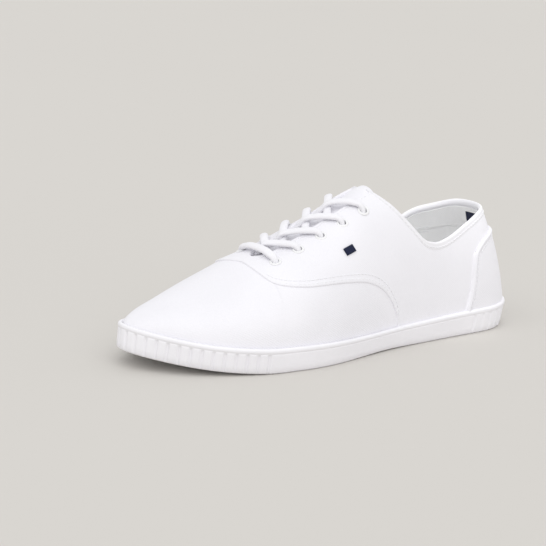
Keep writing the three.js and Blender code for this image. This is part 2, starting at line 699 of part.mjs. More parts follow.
// Flanged ring set through the quarter, its axis along the face's own direction
function eyeletGeometry() {
  const bore = EYELET_HOLE / 2;
  const barrel = EYELET_BARREL / 2;
  const flange = EYELET_FLANGE / 2;
  const bevel = FLANGE_HEIGHT / 2;
  const end = -CANVAS - LAP_STEP;
  const profile = [
    [bore, end], [barrel, end], [barrel, GAP], [flange, GAP], [flange - bevel, GAP + FLANGE_HEIGHT],
    [bore, GAP + FLANGE_HEIGHT], [bore, end],
  ];
  return weld(new THREE.LatheGeometry(profile.map(([r, h]) => new THREE.Vector2(r, h)), EYELET_SIDES));
}

// Flat cord through chosen points, its broad side lying on the shoe
function laceRun(route) {
  const places = route.map(({ along, across, out }) => acrossLast(along, across, out));
  const points = new THREE.CatmullRomCurve3(places).getPoints(LACE_STEPS);
  const { normal } = quarterFrame({ along: route[1].along, across: 0 }, LAP_STEP);
  const sections = points.map((point, k) => {
    const next = points[Math.min(k + 1, points.length - 1)];
    const ahead = next.clone().sub(points[Math.max(k - 1, 0)]).normalize();
    const aside = ahead.clone().cross(normal).normalize();
    const above = aside.clone().cross(ahead).normalize();
    return Array.from({ length: LACE_SIDES }, (_, s) => {
      const angle = (2 * Math.PI * (s + 0.5)) / LACE_SIDES;
      return point.clone()
        .addScaledVector(aside, (LACE_WIDTH / 2) * Math.cos(angle))
        .addScaledVector(above, (LACE_THICKNESS / 2) * Math.sin(angle));
    });
  });
  const last = LACE_SIDES - 1;
  const caps = Array.from({ length: LACE_SIDES / 2 - 1 }, (_, k) => [k, k + 1, last - 1 - k, last - k]);
  return sweep(sections, caps);
}

const LACE_REST = LACE_THICKNESS / 2 + LACE_GAP;
const OVER_EYELET = LAP_STEP + GAP + FLANGE_HEIGHT + LACE_REST;
const OVER_EDGE = LAP_STEP + LACE_REST;
const OVER_TONGUE = LACE_REST - CANVAS - 2 * GAP - BINDING_THICKNESS;

// One leg: out from under the quarter's edge at a row, across, and over the other edge to the next row
function laceLeg(row, side, height) {
  const lead = row === 0 ? FIRST_LEAD : LACE_LEAD;
  const from = eyeletPlace(row, side).along + lead / SOLE_LENGTH;
  const to = eyeletPlace(row + 1, -side);
  const edge = throatHalf(from);
  const start = side * (edge - LACE_HIDDEN);
  const at = (across, out) => {
    const share = clamp((across - start) / (to.across - start), 0, 1);
    return { along: mix(from, to.along, share), across, out };
  };
  return laceRun([
    at(start, OVER_TONGUE),
    at(start / 2, mix(OVER_TONGUE, height, 0.5)),
    at(0, height),
    at(-side * (edge - LACE_HIDDEN), Math.max(OVER_EDGE, height)),
    at(-side * (edge + LACE_HIDDEN), OVER_EYELET),
    at(to.across, OVER_EYELET),
  ]);
}

// Crossing of two legs: the one from the inner side lies on the one from the outer side
function laceCrossing(row) {
  const lower = toManifold(laceLeg(row, LATERAL, LACE_LOW));
  const upper = toManifold(laceLeg(row, MEDIAL, LACE_LOW + LACE_THICKNESS - LACE_BITE));
  return fromManifold(lower.add(upper));
}

// Straight bar over the first row
function laceBar() {
  const { along } = eyeletPlace(0, LATERAL);
  return laceRun([-1, -0.6, 0, 0.6, 1].map((share) => (
    { along, across: share * EYELET_SPREAD, out: OVER_EYELET }
  )));
}

// Small plain tab of woven tape, flat on the outer quarter, in line with the eyelets
function tabGeometry() {
  const along = alongOf(TAB_AHEAD);
  const out = LAP_STEP + GAP + TAB_THICKNESS / 2;
  const face = (u, v) => onLast(along + u / SOLE_LENGTH, LATERAL, TAB_UP + v, out);
  const point = face(0, 0);
  const normal = face(0, 1).sub(face(0, -1)).cross(face(1, 0).sub(face(-1, 0))).normalize();
  const row = quarterFrame(eyeletPlace(0, LATERAL), 0).point
    .sub(quarterFrame(eyeletPlace(EYELET_ROWS - 1, LATERAL), 0).point);
  const length = row.addScaledVector(normal, -row.dot(normal)).normalize();
  const height = normal.clone().cross(length);
  const frame = new THREE.Matrix4().makeBasis(length, height, normal).setPosition(point);
  return weld(new THREE.BoxGeometry(TAB_LENGTH, TAB_HEIGHT, TAB_THICKNESS)).applyMatrix4(frame);
}

// Plain tape on the lining inside the heel, under the binding
function tapeGeometry() {
  const face = -CANVAS - GAP;
  const half = lastFrame(0.5 / SOLE_LENGTH, face).half / blunt(0.5, HEEL_ROUND, HEEL_POWER);
  const wanted = (TAPE_WIDTH / 2) / half;
  const reach = (HEEL_ROUND * (1 - (1 - wanted ** HEEL_POWER) ** (1 / HEEL_POWER))) / SOLE_LENGTH;
  const alongs = [0, 0.25, 0.6, 1].map((share) => share ** HEEL_POWER * reach);
  const rows = Array.from({ length: TAPE_ROWS + 1 }, (_, k) => (
    -BINDING_DEPTH - GAP - TAPE_LENGTH * (1 - k / TAPE_ROWS)
  ));
  const sections = roundTrip(alongs).map(({ along, side }) => [
    ...rows.map((up) => fromEdge(along, side, up, face)),
    ...[...rows].reverse().map((up) => fromEdge(along, side, up, face - TAPE_THICKNESS)),
  ]);
  return sweep(sections, rows.slice(1).map((_, k) => [k, k + 1, 2 * TAPE_ROWS - k, 2 * TAPE_ROWS + 1 - k]));
}

// Colours and surfaces
const finish = (color, roughness) => () => new THREE.MeshStandardMaterial({ color, roughness, metalness: 0 });
const canvasCloth = finish(0xf4f4f6, 0.9);
const rubber = finish(0xf2f3f5, 0.55);
const cotton = finish(0xf0f0f0, 0.95);
const cord = finish(0xfafafa, 0.85);
const enamel = finish(0xf7f7f7, 0.35);
const navyTape = finish(0x1d2440, 0.8);

const shoe = new THREE.Group();

function add(name, geometry, material) {
  const mesh = new THREE.Mesh(geometry, material());
  mesh.name = name;
  shoe.add(mesh);
  return mesh;
}

add('sole', soleGeometry(), rubber);
add('insole', insoleGeometry(), cotton);
add('upper', upperGeometry(), canvasCloth);
add('tongue', tongueGeometry(), canvasCloth);
add('heel_patch', patchGeometry(), canvasCloth);
add('collar_binding', bindingGeometry(), cotton);
add('side_tab', tabGeometry(), navyTape);
add('heel_tape', tapeGeometry(), navyTape);
add('lace_bar', laceBar(), cord);
for (let row = 0; row + 1 < EYELET_ROWS; row += 1) add(`lace_crossing_${row + 1}`, laceCrossing(row), cord);
for (const [sideName, side] of [['lateral', LATERAL], ['medial', MEDIAL]]) {
  for (let row = 0; row < EYELET_ROWS; row += 1) {
    const { point, normal } = quarterFrame(eyeletPlace(row, side), LAP_STEP);
    const eyelet = add(`eyelet_${sideName}_${row + 1}`, eyeletGeometry(), enamel);
    eyelet.position.copy(point);
    eyelet.quaternion.setFromUnitVectors(new THREE.Vector3(0, 1, 0), normal);
  }
}

export default shoe;
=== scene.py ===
"""Looks of a low white canvas lace-up shoe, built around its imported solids.

The shoe is one left shoe, toe along +X, outer side along +Y. Sizes in the tables are millimetres,
and every mesh is written in metres. The cloth is laid over the same last as the solids: a section
at each place along the shoe, walked round from the foot of the cloth to the crest or free edge.
"""
import logging
import math
from dataclasses import dataclass
from enum import Enum
from functools import cache

import bmesh
import bpy
import numpy as np
from mathutils import Matrix, Vector


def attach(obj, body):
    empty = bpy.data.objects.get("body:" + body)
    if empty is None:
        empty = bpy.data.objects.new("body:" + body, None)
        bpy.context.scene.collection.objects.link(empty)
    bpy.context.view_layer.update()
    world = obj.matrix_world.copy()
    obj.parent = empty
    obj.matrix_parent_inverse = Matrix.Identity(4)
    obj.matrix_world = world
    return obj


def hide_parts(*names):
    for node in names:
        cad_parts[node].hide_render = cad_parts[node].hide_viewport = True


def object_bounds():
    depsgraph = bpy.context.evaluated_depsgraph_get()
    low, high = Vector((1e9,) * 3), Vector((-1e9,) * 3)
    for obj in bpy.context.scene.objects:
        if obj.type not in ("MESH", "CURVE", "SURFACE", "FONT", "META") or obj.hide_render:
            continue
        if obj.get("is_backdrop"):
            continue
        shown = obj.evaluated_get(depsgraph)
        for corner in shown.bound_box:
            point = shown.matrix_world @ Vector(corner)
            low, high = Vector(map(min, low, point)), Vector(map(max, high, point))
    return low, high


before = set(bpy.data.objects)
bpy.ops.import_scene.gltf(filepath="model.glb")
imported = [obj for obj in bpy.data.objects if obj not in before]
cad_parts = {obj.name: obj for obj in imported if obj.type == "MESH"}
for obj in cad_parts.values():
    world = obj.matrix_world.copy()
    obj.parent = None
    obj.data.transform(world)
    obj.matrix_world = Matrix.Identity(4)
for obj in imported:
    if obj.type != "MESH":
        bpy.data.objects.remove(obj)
CAD_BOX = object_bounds()
LOG = logging.getLogger("shoe")
MM = 0.001
ROOT = "root"
LATERAL = 1
MEDIAL = -1
CREST = math.pi / 2
MERGE = 2e-6  # metres under which two points are one
SLIVER = 1e-7  # metres under which an edge is nothing
HEEL_SIDE = -97.0  # place ahead of the origin where the heel's round has turned into the side
Array = np.ndarray
Colour = tuple[float, float, float, float]
Point = tuple[float, float, float]
GEOMETRY = "NodeSocketGeometry"


class Cloth(Enum):
    """Faces of the upper, each at its distance out from the last, in millimetres."""

    VAMP = 0.0
    QUARTER = 0.6
    INSIDE = -1.6


def mix(a: Array, b: Array, share: Array) -> Array:
    """Blends a into b by a share of 0 to 1."""
    return a + (b - a) * share


def ease(share: Array) -> Array:
    """Smooth step over a share, held at 0 and 1 outside it."""
    held = np.clip(share, 0.0, 1.0)
    return held * held * (3.0 - 2.0 * held)


def blunt(distance: Array, length: float, power: float) -> Array:
    """Gives the rounding of a blunt end.

    Args:
        distance: how far from the end, in millimetres.
        length: length of the rounded stretch.
        power: power of the superellipse that rounds it.

    Returns:
        0 at the end, rising to 1 past the rounded stretch.
    """
    inner = np.clip(1.0 - np.maximum(distance, 0.0) / length, 0.0, 1.0)
    return (1.0 - inner**power) ** (1.0 / power)


def signed_power(value: Array, power: float) -> Array:
    """Power of a value's size, with the value's sign."""
    return np.sign(value) * np.abs(value) ** power


def run_length(points: Array) -> Array:
    """Length gone at each point of a line of points, or of several side by side."""
    step = np.linalg.norm(np.diff(points, axis=0), axis=-1)
    return np.concatenate([np.zeros((1, *step.shape[1:])), np.cumsum(step, axis=0)])


def run_share(points: Array) -> Array:
    """Share of the whole length gone at each point of a line of points."""
    gone = run_length(points)
    return gone / gone[-1]


class Track:
    """Smooth curve through the rows of a table, with slopes from the neighbouring rows."""

    def __init__(self, at: list[float], value: list[float]) -> None:
        """Works out the slopes of the curve at its rows.

        Args:
            at: places along, in order.
            value: the value at each place.
        """
        self.at = np.array(at, float)
        self.value = np.array(value, float)
        step = np.diff(self.at)
        rise = np.diff(self.value) / step
        inner = (rise[:-1] * step[1:] + rise[1:] * step[:-1]) / (step[:-1] + step[1:])
        self.slope = np.concatenate([rise[:1], inner, rise[-1:]])

    def __call__(self, along: Array) -> Array:
        """Gives the curve's value at places along it.

        Args:
            along: places, held between the curve's ends.

        Returns:
            The value at each place.
        """
        place = np.clip(along, self.at[0], self.at[-1])
        k = np.clip(np.searchsorted(self.at, place) - 1, 0, len(self.at) - 2)
        span = self.at[k + 1] - self.at[k]
        s = (place - self.at[k]) / span
        left = self.value[k] * (1 + 2 * s) + self.slope[k] * span * s
        right = self.value[k + 1] * (3 - 2 * s) - self.slope[k + 1] * span * (1 - s)
        return left * (1 - s) ** 2 + right * s**2


@dataclass(frozen=True)
class Crease:
    """Soft trough or ridge in the cloth, along a straight run over the unrolled side.

    Places are millimetres ahead of the origin and shares of the way from foot to crest.
    """

    side: int
    start: tuple[float, float]
    end: tuple[float, float]
    width: float
    depth: float


@dataclass
class Last:
    """The shoe's form: the rubber's outline and the sections that the cloth is drawn over."""

    length: float = 264.0
    ball: float = 98.0
    heel: float = 69.0
    heel_round: float = 34.0
    heel_power: float = 2.2
    toe_round: float = 74.0
    toe_spring: float = 11.0
    spring_length: float = 79.0
    arch: float = 0.5
    rubber: float = 14.5
    wall: float = 2.4
    tuck: float = 2.9
    gap: float = 0.3
    seat_drop: float = 1.0
    collar: float = 72.5
    instep: float = 89.5
    lean: float = 17.0
    lean_fade: float = 100.0
    crest_round: float = 19.0
    throat_base: float = 50.0
    throat_top: float = -25.0
    throat_round: float = 9.0
    throat_half: float = 8.0
    floor_heel: float = 9.0
    floor_fore: float = 6.5
    inner_dip: float = 2.0
    dip_at: float = -114.0
    dip_length: float = 13.0
    crease_height: float = 60.0
    creases: tuple[Crease, ...] = ()
    net_columns: int = 301
    net_rows: int = 41

    def __post_init__(self) -> None:
        """Makes the curves of the last's tables, each row starting with a share of the length.

        A row of the plan goes on with a width, its share and the middle's shift; of the sections,
        with the crest's share, the fullness and the skew; of the rubber, with its height's share;
        and of the collar, with shares of the heel's height and of the crest's.
        """
        heel, ball = self.heel, self.ball
        plan = [
            (0.0, heel, 1.0, 0.0), (0.13, heel, 1.0, 0.0), (0.25, heel, 0.99, 0.022),
            (0.4, heel, 1.01, 0.06), (0.5, ball, 0.79, 0.052), (0.6, ball, 0.92, 0.035),
            (0.65, ball, 0.965, 0.016), (0.7, ball, 0.992, -0.008), (0.75, ball, 1.0, -0.024),
            (0.8, ball, 0.978, -0.038), (0.9, ball, 0.88, -0.05), (1.0, ball, 0.72, -0.07),
        ]
        sections = [
            (0.0, 0.8, 2.3, 0.0), (0.13, 0.82, 2.3, 0.0), (0.27, 0.89, 2.25, -0.02),
            (0.36, 0.885, 2.2, -0.05), (0.405, 0.852, 2.2, -0.07), (0.455, 0.8, 2.2, -0.08),
            (0.513, 0.715, 2.2, -0.08), (0.568, 0.633, 2.2, -0.06), (0.625, 0.546, 2.2, -0.04),
            (0.68, 0.478, 2.2, -0.01), (0.71, 0.443, 2.2, 0.0), (0.75, 0.388, 2.2, 0.01),
            (0.8, 0.318, 2.25, 0.01), (0.85, 0.25, 2.3, 0.0), (0.906, 0.178, 2.35, 0.0),
            (0.95, 0.125, 2.4, 0.0), (1.0, 0.08, 2.4, 0.0),
        ]
        rubber = [
            (0.0, 1.13), (0.15, 1.04), (0.3, 0.96), (0.45, 0.86),
            (0.6, 0.95), (0.75, 1.0), (0.9, 0.97), (1.0, 0.97),
        ]
        collar = [
            (0.0, 1.0, 0.0), (0.032, 0.992, 0.0), (0.083, 0.96, 0.0), (0.136, 0.905, 0.0),
            (0.21, 0.82, 0.0), (0.26, 0.797, 0.0), (0.3, 0.84, 0.0),
            (0.335, 0.0, 0.756), (0.375, 0.0, 0.893), (0.405, 0.0, 0.995),
        ]
        places = [row[0] for row in plan]
        self.width = Track(places, [row[1] * row[2] for row in plan])
        self.shift = Track(places, [row[1] * row[3] for row in plan])
        self.crest_share, self.full, self.skew = (
            Track([row[0] for row in sections], [row[k] for row in sections]) for k in (1, 2, 3)
        )
        self.rubber_share = Track(*map(list, zip(*rubber)))
        self.collar_heel, self.collar_crown = (
            Track([row[0] for row in collar], [row[k] for row in collar]) for k in (1, 2)
        )

        self.grid_along = (1 - np.cos(np.linspace(0.0, math.pi, self.net_columns))) / 2
        turns = np.linspace(0.0, CREST, self.net_rows)
        sides = [self.cloth(self.grid_along[:, None], side, turns, 0.0) for side in (LATERAL, MEDIAL)]
        self.far = np.stack([run_length(points[:, 0]) for points in sides])
        self.up = np.stack([run_length(points.swapaxes(0, 1)).T for points in sides])

    def unrolled(self, along: Array, side: Array, turn: Array) -> tuple[Array, Array, Array]:
        """Gives lengths over the cloth to a place on it.

        Args:
            along: share of the length.
            side: LATERAL or MEDIAL.
            turn: turn round the section, in radians.

        Returns:
            Millimetres round from the heel, up from the foot, and on to the crest.
        """
        along, side, turn = np.broadcast_arrays(along, side, turn)
        which = (side < 0).astype(int)
        i = np.interp(along, self.grid_along, np.arange(float(self.net_columns)))
        j = np.clip(turn / CREST, 0.0, 1.0) * (self.net_rows - 1)
        i0 = np.minimum(i.astype(int), self.net_columns - 2)
        j0 = np.minimum(j.astype(int), self.net_rows - 2)
        low, high, crest = (
            mix(self.up[which, i0, k], self.up[which, i0 + 1, k], i - i0) for k in (j0, j0 + 1, -1)
        )
        up = mix(low, high, j - j0)
        return mix(self.far[which, i0], self.far[which, i0 + 1], i - i0), up, crest - up

    def along(self, x: Array) -> Array:
        """Turns millimetres ahead of the origin into a share of the length."""
        return np.asarray(x, float) / self.length + 0.5

    def rubber_top(self, along: Array) -> Array:
        """Height of the rubber's side above its underside."""
        return self.rubber * self.rubber_share(along)

    def floor(self, along: Array) -> Array:
        """Height of the rubber's inner floor above its underside."""
        return mix(self.floor_heel, self.floor_fore, ease((along - 0.3) / 0.3))

    def sprung(self, x: Array) -> Array:
        """Share of the toe spring reached at a place."""
        return np.clip((x - self.length / 2 + self.spring_length) / self.spring_length, 0.0, 1.1)

    def underside(self, x: Array) -> Array:
        """Gives the underside's height above the ground.

        Args:
            x: millimetres ahead of the origin.

        Returns:
            The height in millimetres.
        """
        back, front = -0.2 * self.length, 0.06 * self.length
        arch = np.clip((x - back) / (front - back), 0.0, 1.0)
        return self.toe_spring * self.sprung(x) ** 2 + self.arch * np.sin(math.pi * arch) ** 2

    def bend(self, x: Array, y: Array, height: Array) -> Array:
        """Carries points of the flat shoe to the sprung shoe.

        Args:
            x: millimetres ahead of the origin.
            y: millimetres to the outer side.
            height: height above the underside.

        Returns:
            Points in millimetres, with X, Y, Z as the last axis.
        """
        tilt = np.arctan(2 * self.toe_spring * self.sprung(x) / self.spring_length)
        lift = self.underside(x)
        x, y, height = np.broadcast_arrays(x - height * np.sin(tilt), y, lift + height * np.cos(tilt))
        return np.stack([x, y, height], axis=-1)

    def outline(self, along: Array, inset: Array) -> tuple[Array, Array, Array]:
        """Gives the rubber's outline, drawn in by an inset.

        Args:
            along: share of the length.
            inset: how far inside the outline, in millimetres.

        Returns:
            Millimetres ahead of the origin, the middle's sideways place and the half width.
        """
        ends = blunt(along * self.length, self.heel_round, self.heel_power)
        ends = ends * blunt((1 - along) * self.length, self.toe_round, 2.0)
        half = (self.width(along) / 2 - inset) * ends
        return (along - 0.5) * (self.length - 2 * inset), self.shift(along), half

    def section(self, along: Array, out: Array) -> tuple[Array, ...]:
        """Gives the measures of the last's section.

        Args:
            along: share of the length.
            out: distance out from the last's face.

        Returns:
            X, middle, half width, seat, crest, fullness and crown.
        """
        x, middle, half = self.outline(along, self.wall + self.gap - out)
        seat = self.rubber_top(along) - self.seat_drop
        blend = blunt((1 - along) * self.length, self.crest_round, 2.0)
        crest = (self.instep * self.crest_share(along) + out) * blend
        return x, middle, half, seat, crest, self.full(along), middle + self.skew(along) * half

    def leaned(self, x: Array, height: Array, seat: Array) -> Array:
        """Gives the forward lean of the back of the shoe at a height.

        Args:
            x: millimetres ahead of the origin.
            height: height above the underside.
            seat: height where the cloth starts.

        Returns:
            The lean in millimetres.
        """
        fade = np.clip(1 - (x + self.length / 2) / self.lean_fade, 0.0, 1.0) ** 1.5
        rise = np.maximum(height - seat, 0.0) / (self.collar - self.rubber)
        return self.lean * fade * rise**1.25

    def settled(self, along: Array, side: Array, turn: Array) -> Array:
        """Gives the depth of the creases at places on the cloth.

        Args:
            along: share of the length.
            side: LATERAL or MEDIAL.
            turn: turn round the section, in radians.

        Returns:
            The depth in millimetres.
        """
        x = (along - 0.5) * self.length
        up = np.clip(turn / CREST, 0.0, 1.0)
        depth = np.zeros(np.broadcast(x, up).shape)
        reach = self.crease_height
        for crease in self.creases:
            ax, ay = crease.start[0], crease.start[1] * reach
            bx, by = crease.end[0] - ax, crease.end[1] * reach - ay
            px, py = x - ax, up * reach - ay
            span = np.clip((px * bx + py * by) / (bx * bx + by * by), 0.0, 1.0)
            far = np.hypot(px - span * bx, py - span * by)
            tapered = 1 - 0.75 * np.abs(2 * span - 1) ** 2
            soft = np.exp(-((far / crease.width) ** 2)) * tapered
            depth = depth + np.where(side == crease.side, crease.depth * soft, 0.0)
        return depth * ease(up / 0.08) * ease((1 - up) / 0.04 + 0.5)

    def cloth(self, along: Array, side: Array, turn: Array, out: Array, drop: Array = 0.0) -> Array:
        """Point on a section's round, at a turn from its foot, a quarter turn being the crest.

        Args:
            along: share of the length.
            side: LATERAL or MEDIAL.
            turn: turn round the section, in radians.
            out: distance out from the last's face.
            drop: how far below that place, straight down, for the foot inside the rubber.

        Returns:
            Points in millimetres.
        """
        dented = out - self.settled(along, side, turn)
        x, middle, half, seat, crest, full, crown = self.section(along, dented)
        height = seat + crest * np.sin(turn) ** (2 / full)
        reach = np.maximum(np.cos(turn), 0.0) ** (2 / full)
        y = crown + (middle + side * half - crown) * reach
        return self.bend(x + self.leaned(x, height, seat), y, height - drop)

    def across(self, along: Array, across: Array, out: Array) -> Array:
        """Gives points on the last at a distance from its crown line.

        Args:
            along: share of the length.
            across: distance from the crown line, outer side positive.
            out: distance out from the last's face.

        Returns:
            Points in millimetres.
        """
        x, middle, half, seat, crest, full, crown = self.section(along, out)
        side = np.where(np.asarray(across) < 0, MEDIAL, LATERAL)
        span = np.maximum(np.abs(middle + side * half - crown), 1e-6)
        share = np.clip(np.abs(across) / span, 0.0, 1.0)
        height = seat + crest * (1 - share**full) ** (1 / full)
        return self.bend(x + self.leaned(x, height, seat), crown + across, height)

    def throat_open(self, along: Array) -> Array:
        """Gives the throat's half opening.

        Args:
            along: share of the length.

        Returns:
            Half the opening, in millimetres.
        """
        behind = (self.along(self.throat_base) - along) * self.length
        widen = mix(0.72, 1.0, np.clip(behind / (self.throat_base - self.throat_top), 0.0, 1.0))
        return self.throat_half * widen * blunt(behind, self.throat_round, 2.0)

    def edge(self, along: Array, side: Array) -> Array:
        """Turn of the cloth's free edge: collar, then throat, then the crest ahead of it.

        Args:
            along: share of the length.
            side: LATERAL or MEDIAL.

        Returns:
            The turn, in radians.
        """
        _, middle, half, seat, crest, full, crown = self.section(along, 0.0)
        top = self.collar * self.collar_heel(along) + (seat + crest) * self.collar_crown(along)
        from_dip = ((along - 0.5) * self.length - self.dip_at) / self.dip_length
        dip = self.inner_dip * np.exp(-(from_dip**2)) * ease(along * self.length / 10.0)
        top = top - np.where(np.asarray(side) < 0, dip, 0.0)
        rise = (top - seat) / np.maximum(crest, 1e-6)
        collar = np.arcsin(np.clip(rise, 0.0, 1.0) ** (full / 2))
        span = np.maximum(np.abs(middle + side * half - crown), 1e-6)
        throat = np.arccos(np.clip(self.throat_open(along) / span, 0.0, 1.0) ** (full / 2))
        behind = along < self.along(self.throat_top)
        ahead = along >= self.along(self.throat_base)
        return np.where(ahead, CREST, np.where(behind, collar, throat))

    def edge_rate(self, along: Array, side: Array) -> Array:
        """Gives the length round the section for each radian of turn, next to the free edge.

        Args:
            along: share of the length.
            side: LATERAL or MEDIAL.

        Returns:
            Millimetres a radian.
        """
        edge = self.edge(along, side)
        step = self.cloth(along, side, edge, 0.0) - self.cloth(along, side, edge - 0.01, 0.0)
        return np.linalg.norm(step, axis=-1) / 0.01

    def from_edge(self, along: Array, side: Array, up: Array, out: Array) -> Array:
        """Point at a distance above the free edge, round the section; below is negative."""
        turn = self.edge(along, side) + up / self.edge_rate(along, side)
        return self.cloth(along, side, turn, out)

    def turn_at(self, x: Array, z: Array) -> Array:
        """Gives the turn of the last's side at a height.

        Args:
            x: millimetres ahead of the origin.
            z: height above the ground, in millimetres.

        Returns:
            The turn, in radians.
        """
        along = self.along(x)
        _, _, _, seat, crest, full, _ = self.section(along, 0.0)
        rise = (z - self.underside(np.asarray(x, float)) - seat) / np.maximum(crest, 1e-6)
        return np.arcsin(np.clip(rise, 0.0, 1.0) ** (full / 2))


CREASES = (
    (LATERAL, (74.0, 0.36), (58.0, 0.62), 7.0, 0.5), (LATERAL, (60.0, 0.2), (46.0, 0.42), 8.0, 0.55),
    (LATERAL, (36.0, 0.16), (14.0, 0.3), 9.0, 0.6), (LATERAL, (-2.0, 0.52), (-30.0, 0.38), 10.0, 0.7),
    (LATERAL, (-44.0, 0.62), (-58.0, 0.3), 8.0, -0.5), (LATERAL, (-70.0, 0.6), (-84.0, 0.25), 9.0, 0.6),
    (LATERAL, (22.0, 0.62), (-8.0, 0.72), 9.0, -0.4), (MEDIAL, (70.0, 0.38), (52.0, 0.6), 7.0, 0.5),
    (MEDIAL, (44.0, 0.2), (20.0, 0.34), 9.0, 0.7), (MEDIAL, (4.0, 0.5), (-24.0, 0.34), 10.0, 0.8),
    (MEDIAL, (-46.0, 0.6), (-62.0, 0.3), 9.0, -0.5), (MEDIAL, (-74.0, 0.55), (-86.0, 0.25), 9.0, 0.6),
)
LAST = Last(creases=tuple(Crease(*row) for row in CREASES))


def heel_places(count: int) -> Array:
    """Places ahead of the origin round the blunt heel, evenly spaced round its curve.

    Args:
        count: how many places.

    Returns:
        The places, from the heel's tip forward.
    """
    turn = np.linspace(0.0, CREST, count)
    ahead = 1 - np.cos(turn) ** (2 / LAST.heel_power)
    return LAST.length * -0.5 + LAST.heel_round * ahead


def rear_places(count: int, last: float, step: float) -> Array:
    """Places round the heel, a count of them, and on along the side in even steps up to a last one."""
    return np.concatenate([heel_places(count), np.arange(HEEL_SIDE, last, step)])


def toe_places(count: int, first: float) -> Array:
    """Places from one ahead of the origin to the toe tip, evenly spaced round the toe.

    Args:
        count: how many places stand round the toe.
        first: the first place.

    Returns:
        The places, in order.
    """
    begin = LAST.length / 2 - LAST.toe_round
    turn = np.linspace(CREST, 0.0, count)
    far = LAST.length / 2 - LAST.toe_round * (1 - np.cos(turn))
    return np.concatenate([np.arange(first, begin, 1.6), far])


class Surface:
    """Mesh made of grids of points in millimetres, each with its cloth coordinates."""

    def __init__(self, name: str) -> None:
        """Starts an empty surface.

        Args:
            name: the name of the piece it is for.
        """
        self.name = name
        self.points: list[Array] = []
        self.coords: list[Array] = []
        self.faces: list[list[int]] = []
        self.count = 0

    def grid(self, points: Array, coords: Array | None = None, closed: bool = False) -> "Surface":
        """Adds a grid of points.

        Args:
            points: rows by columns by 3, in millimetres.
            coords: rows by columns by 2, in millimetres, measured on the grid when left out.
            closed: whether the last column joins the first.

        Returns:
            The surface itself.
        """
        rows, columns = points.shape[:2]
        if coords is None:
            coords = self.measured(points)
        here = self.count + np.arange(rows * columns).reshape(rows, columns)
        beside = np.roll(here, -1, axis=1)
        quads = np.stack([here[:-1], beside[:-1], beside[1:], here[1:]], axis=-1)
        wrap = columns if closed else columns - 1
        self.faces += quads[:, :wrap].reshape(-1, 4).tolist()
        self.points.append(points.reshape(-1, 3))
        self.coords.append(coords.reshape(-1, 2))
        self.count += rows * columns
        return self

    @staticmethod
    def measured(points: Array) -> Array:
        """Lengths along a grid's middle row and up each of its columns, as coordinates."""
        along, up = run_length(points[len(points) // 2]), run_length(points)
        return np.stack([np.broadcast_to(along, up.shape), up], axis=-1)

    def cap(self, ring: Array) -> "Surface":
        """Closes a ring of points with one face.

        Args:
            ring: the points, in order.

        Returns:
            The surface itself.
        """
        base = self.count
        self.points.append(ring)
        self.coords.append(ring[:, :2])
        self.count += len(ring)
        self.faces.append(list(range(base, base + len(ring))))
        return self

    def shell(
        self, outer: Array, inner: Array, coords: Array | None = None,
        joined: Array | None = None, ends: bool = True,
    ) -> "Surface":
        """Adds a closed skin of two like grids and the rims between them.

        Args:
            outer: rows by columns by 3, the face that is seen.
            inner: the face behind it, with the same rows and columns.
            coords: cloth coordinates of both faces, measured on them when left out.
            joined: which columns meet their like at the top, so that no rim stands there.
            ends: whether the first and last columns are edges, not a join of the two.

        Returns:
            The surface itself.
        """
        self.grid(outer, coords).grid(inner, coords)
        self.grid(np.stack([outer[0], inner[0]]))
        if ends:
            self.grid(np.stack([outer[:, 0], inner[:, 0]]))
            self.grid(np.stack([outer[:, -1], inner[:, -1]]))
        free = np.ones(outer.shape[1], bool) if joined is None else ~joined
        for run in np.split(np.arange(len(free)), np.flatnonzero(np.diff(free)) + 1):
            if free[run[0]]:
                run = np.arange(max(run[0] - 1, 0), min(run[-1] + 2, len(free)))
                self.grid(np.stack([outer[-1, run], inner[-1, run]]))
        return self

    def mesh(self, crisp: float = 50.0) -> bpy.types.Mesh:
        """Makes the mesh: doubles merged, faces outward, smooth but for crisp edges.

        Args:
            crisp: edges sharper than this many degrees stay sharp.

        Returns:
            The mesh, in metres.
        """
        mesh = bpy.data.meshes.new(self.name)
        points = np.concatenate(self.points) * MM
        mesh.from_pydata(points.tolist(), [], self.faces)
        layer = mesh.uv_layers.new(name="cloth")
        corner = np.empty(len(mesh.loops), dtype=np.int32)
        mesh.loops.foreach_get("vertex_index", corner)
        layer.data.foreach_set("uv", (np.concatenate(self.coords) * MM)[corner].ravel())
        work = bmesh.new()
        work.from_mesh(mesh)
        bmesh.ops.remove_doubles(work, verts=work.verts, dist=MERGE)
        bmesh.ops.dissolve_degenerate(work, edges=work.edges, dist=SLIVER)
        bmesh.ops.recalc_face_normals(work, faces=work.faces)
        if work.calc_volume(signed=True) < 0:
            bmesh.ops.reverse_faces(work, faces=work.faces)
        work.to_mesh(mesh)
        work.free()
        mesh.shade_smooth()
        mesh.set_sharp_from_angle(angle=math.radians(crisp))
        return mesh

    def build(self, finish: bpy.types.Material, slot: str, crisp: float = 50.0) -> bpy.types.Object:
        """Makes the surface a piece of the shoe with a finish; the slot it stands for is passed on but not
        used.
        """
        return place(self.name, self.mesh(crisp), finish, slot)

    def helper(self) -> bpy.types.Object:
        """Makes the surface a loose object that other pieces are made with."""
        return loose(self.name, self.mesh())


def loose(name: str, mesh: bpy.types.Mesh) -> bpy.types.Object:
    """Links a mesh as an object that rides on nothing yet.

    Args:
        name: the object's name.
        mesh: its mesh, in metres.

    Returns:
        The new object.
    """
    made = bpy.data.objects.new(name, mesh)
    bpy.context.scene.collection.objects.link(made)
    return made


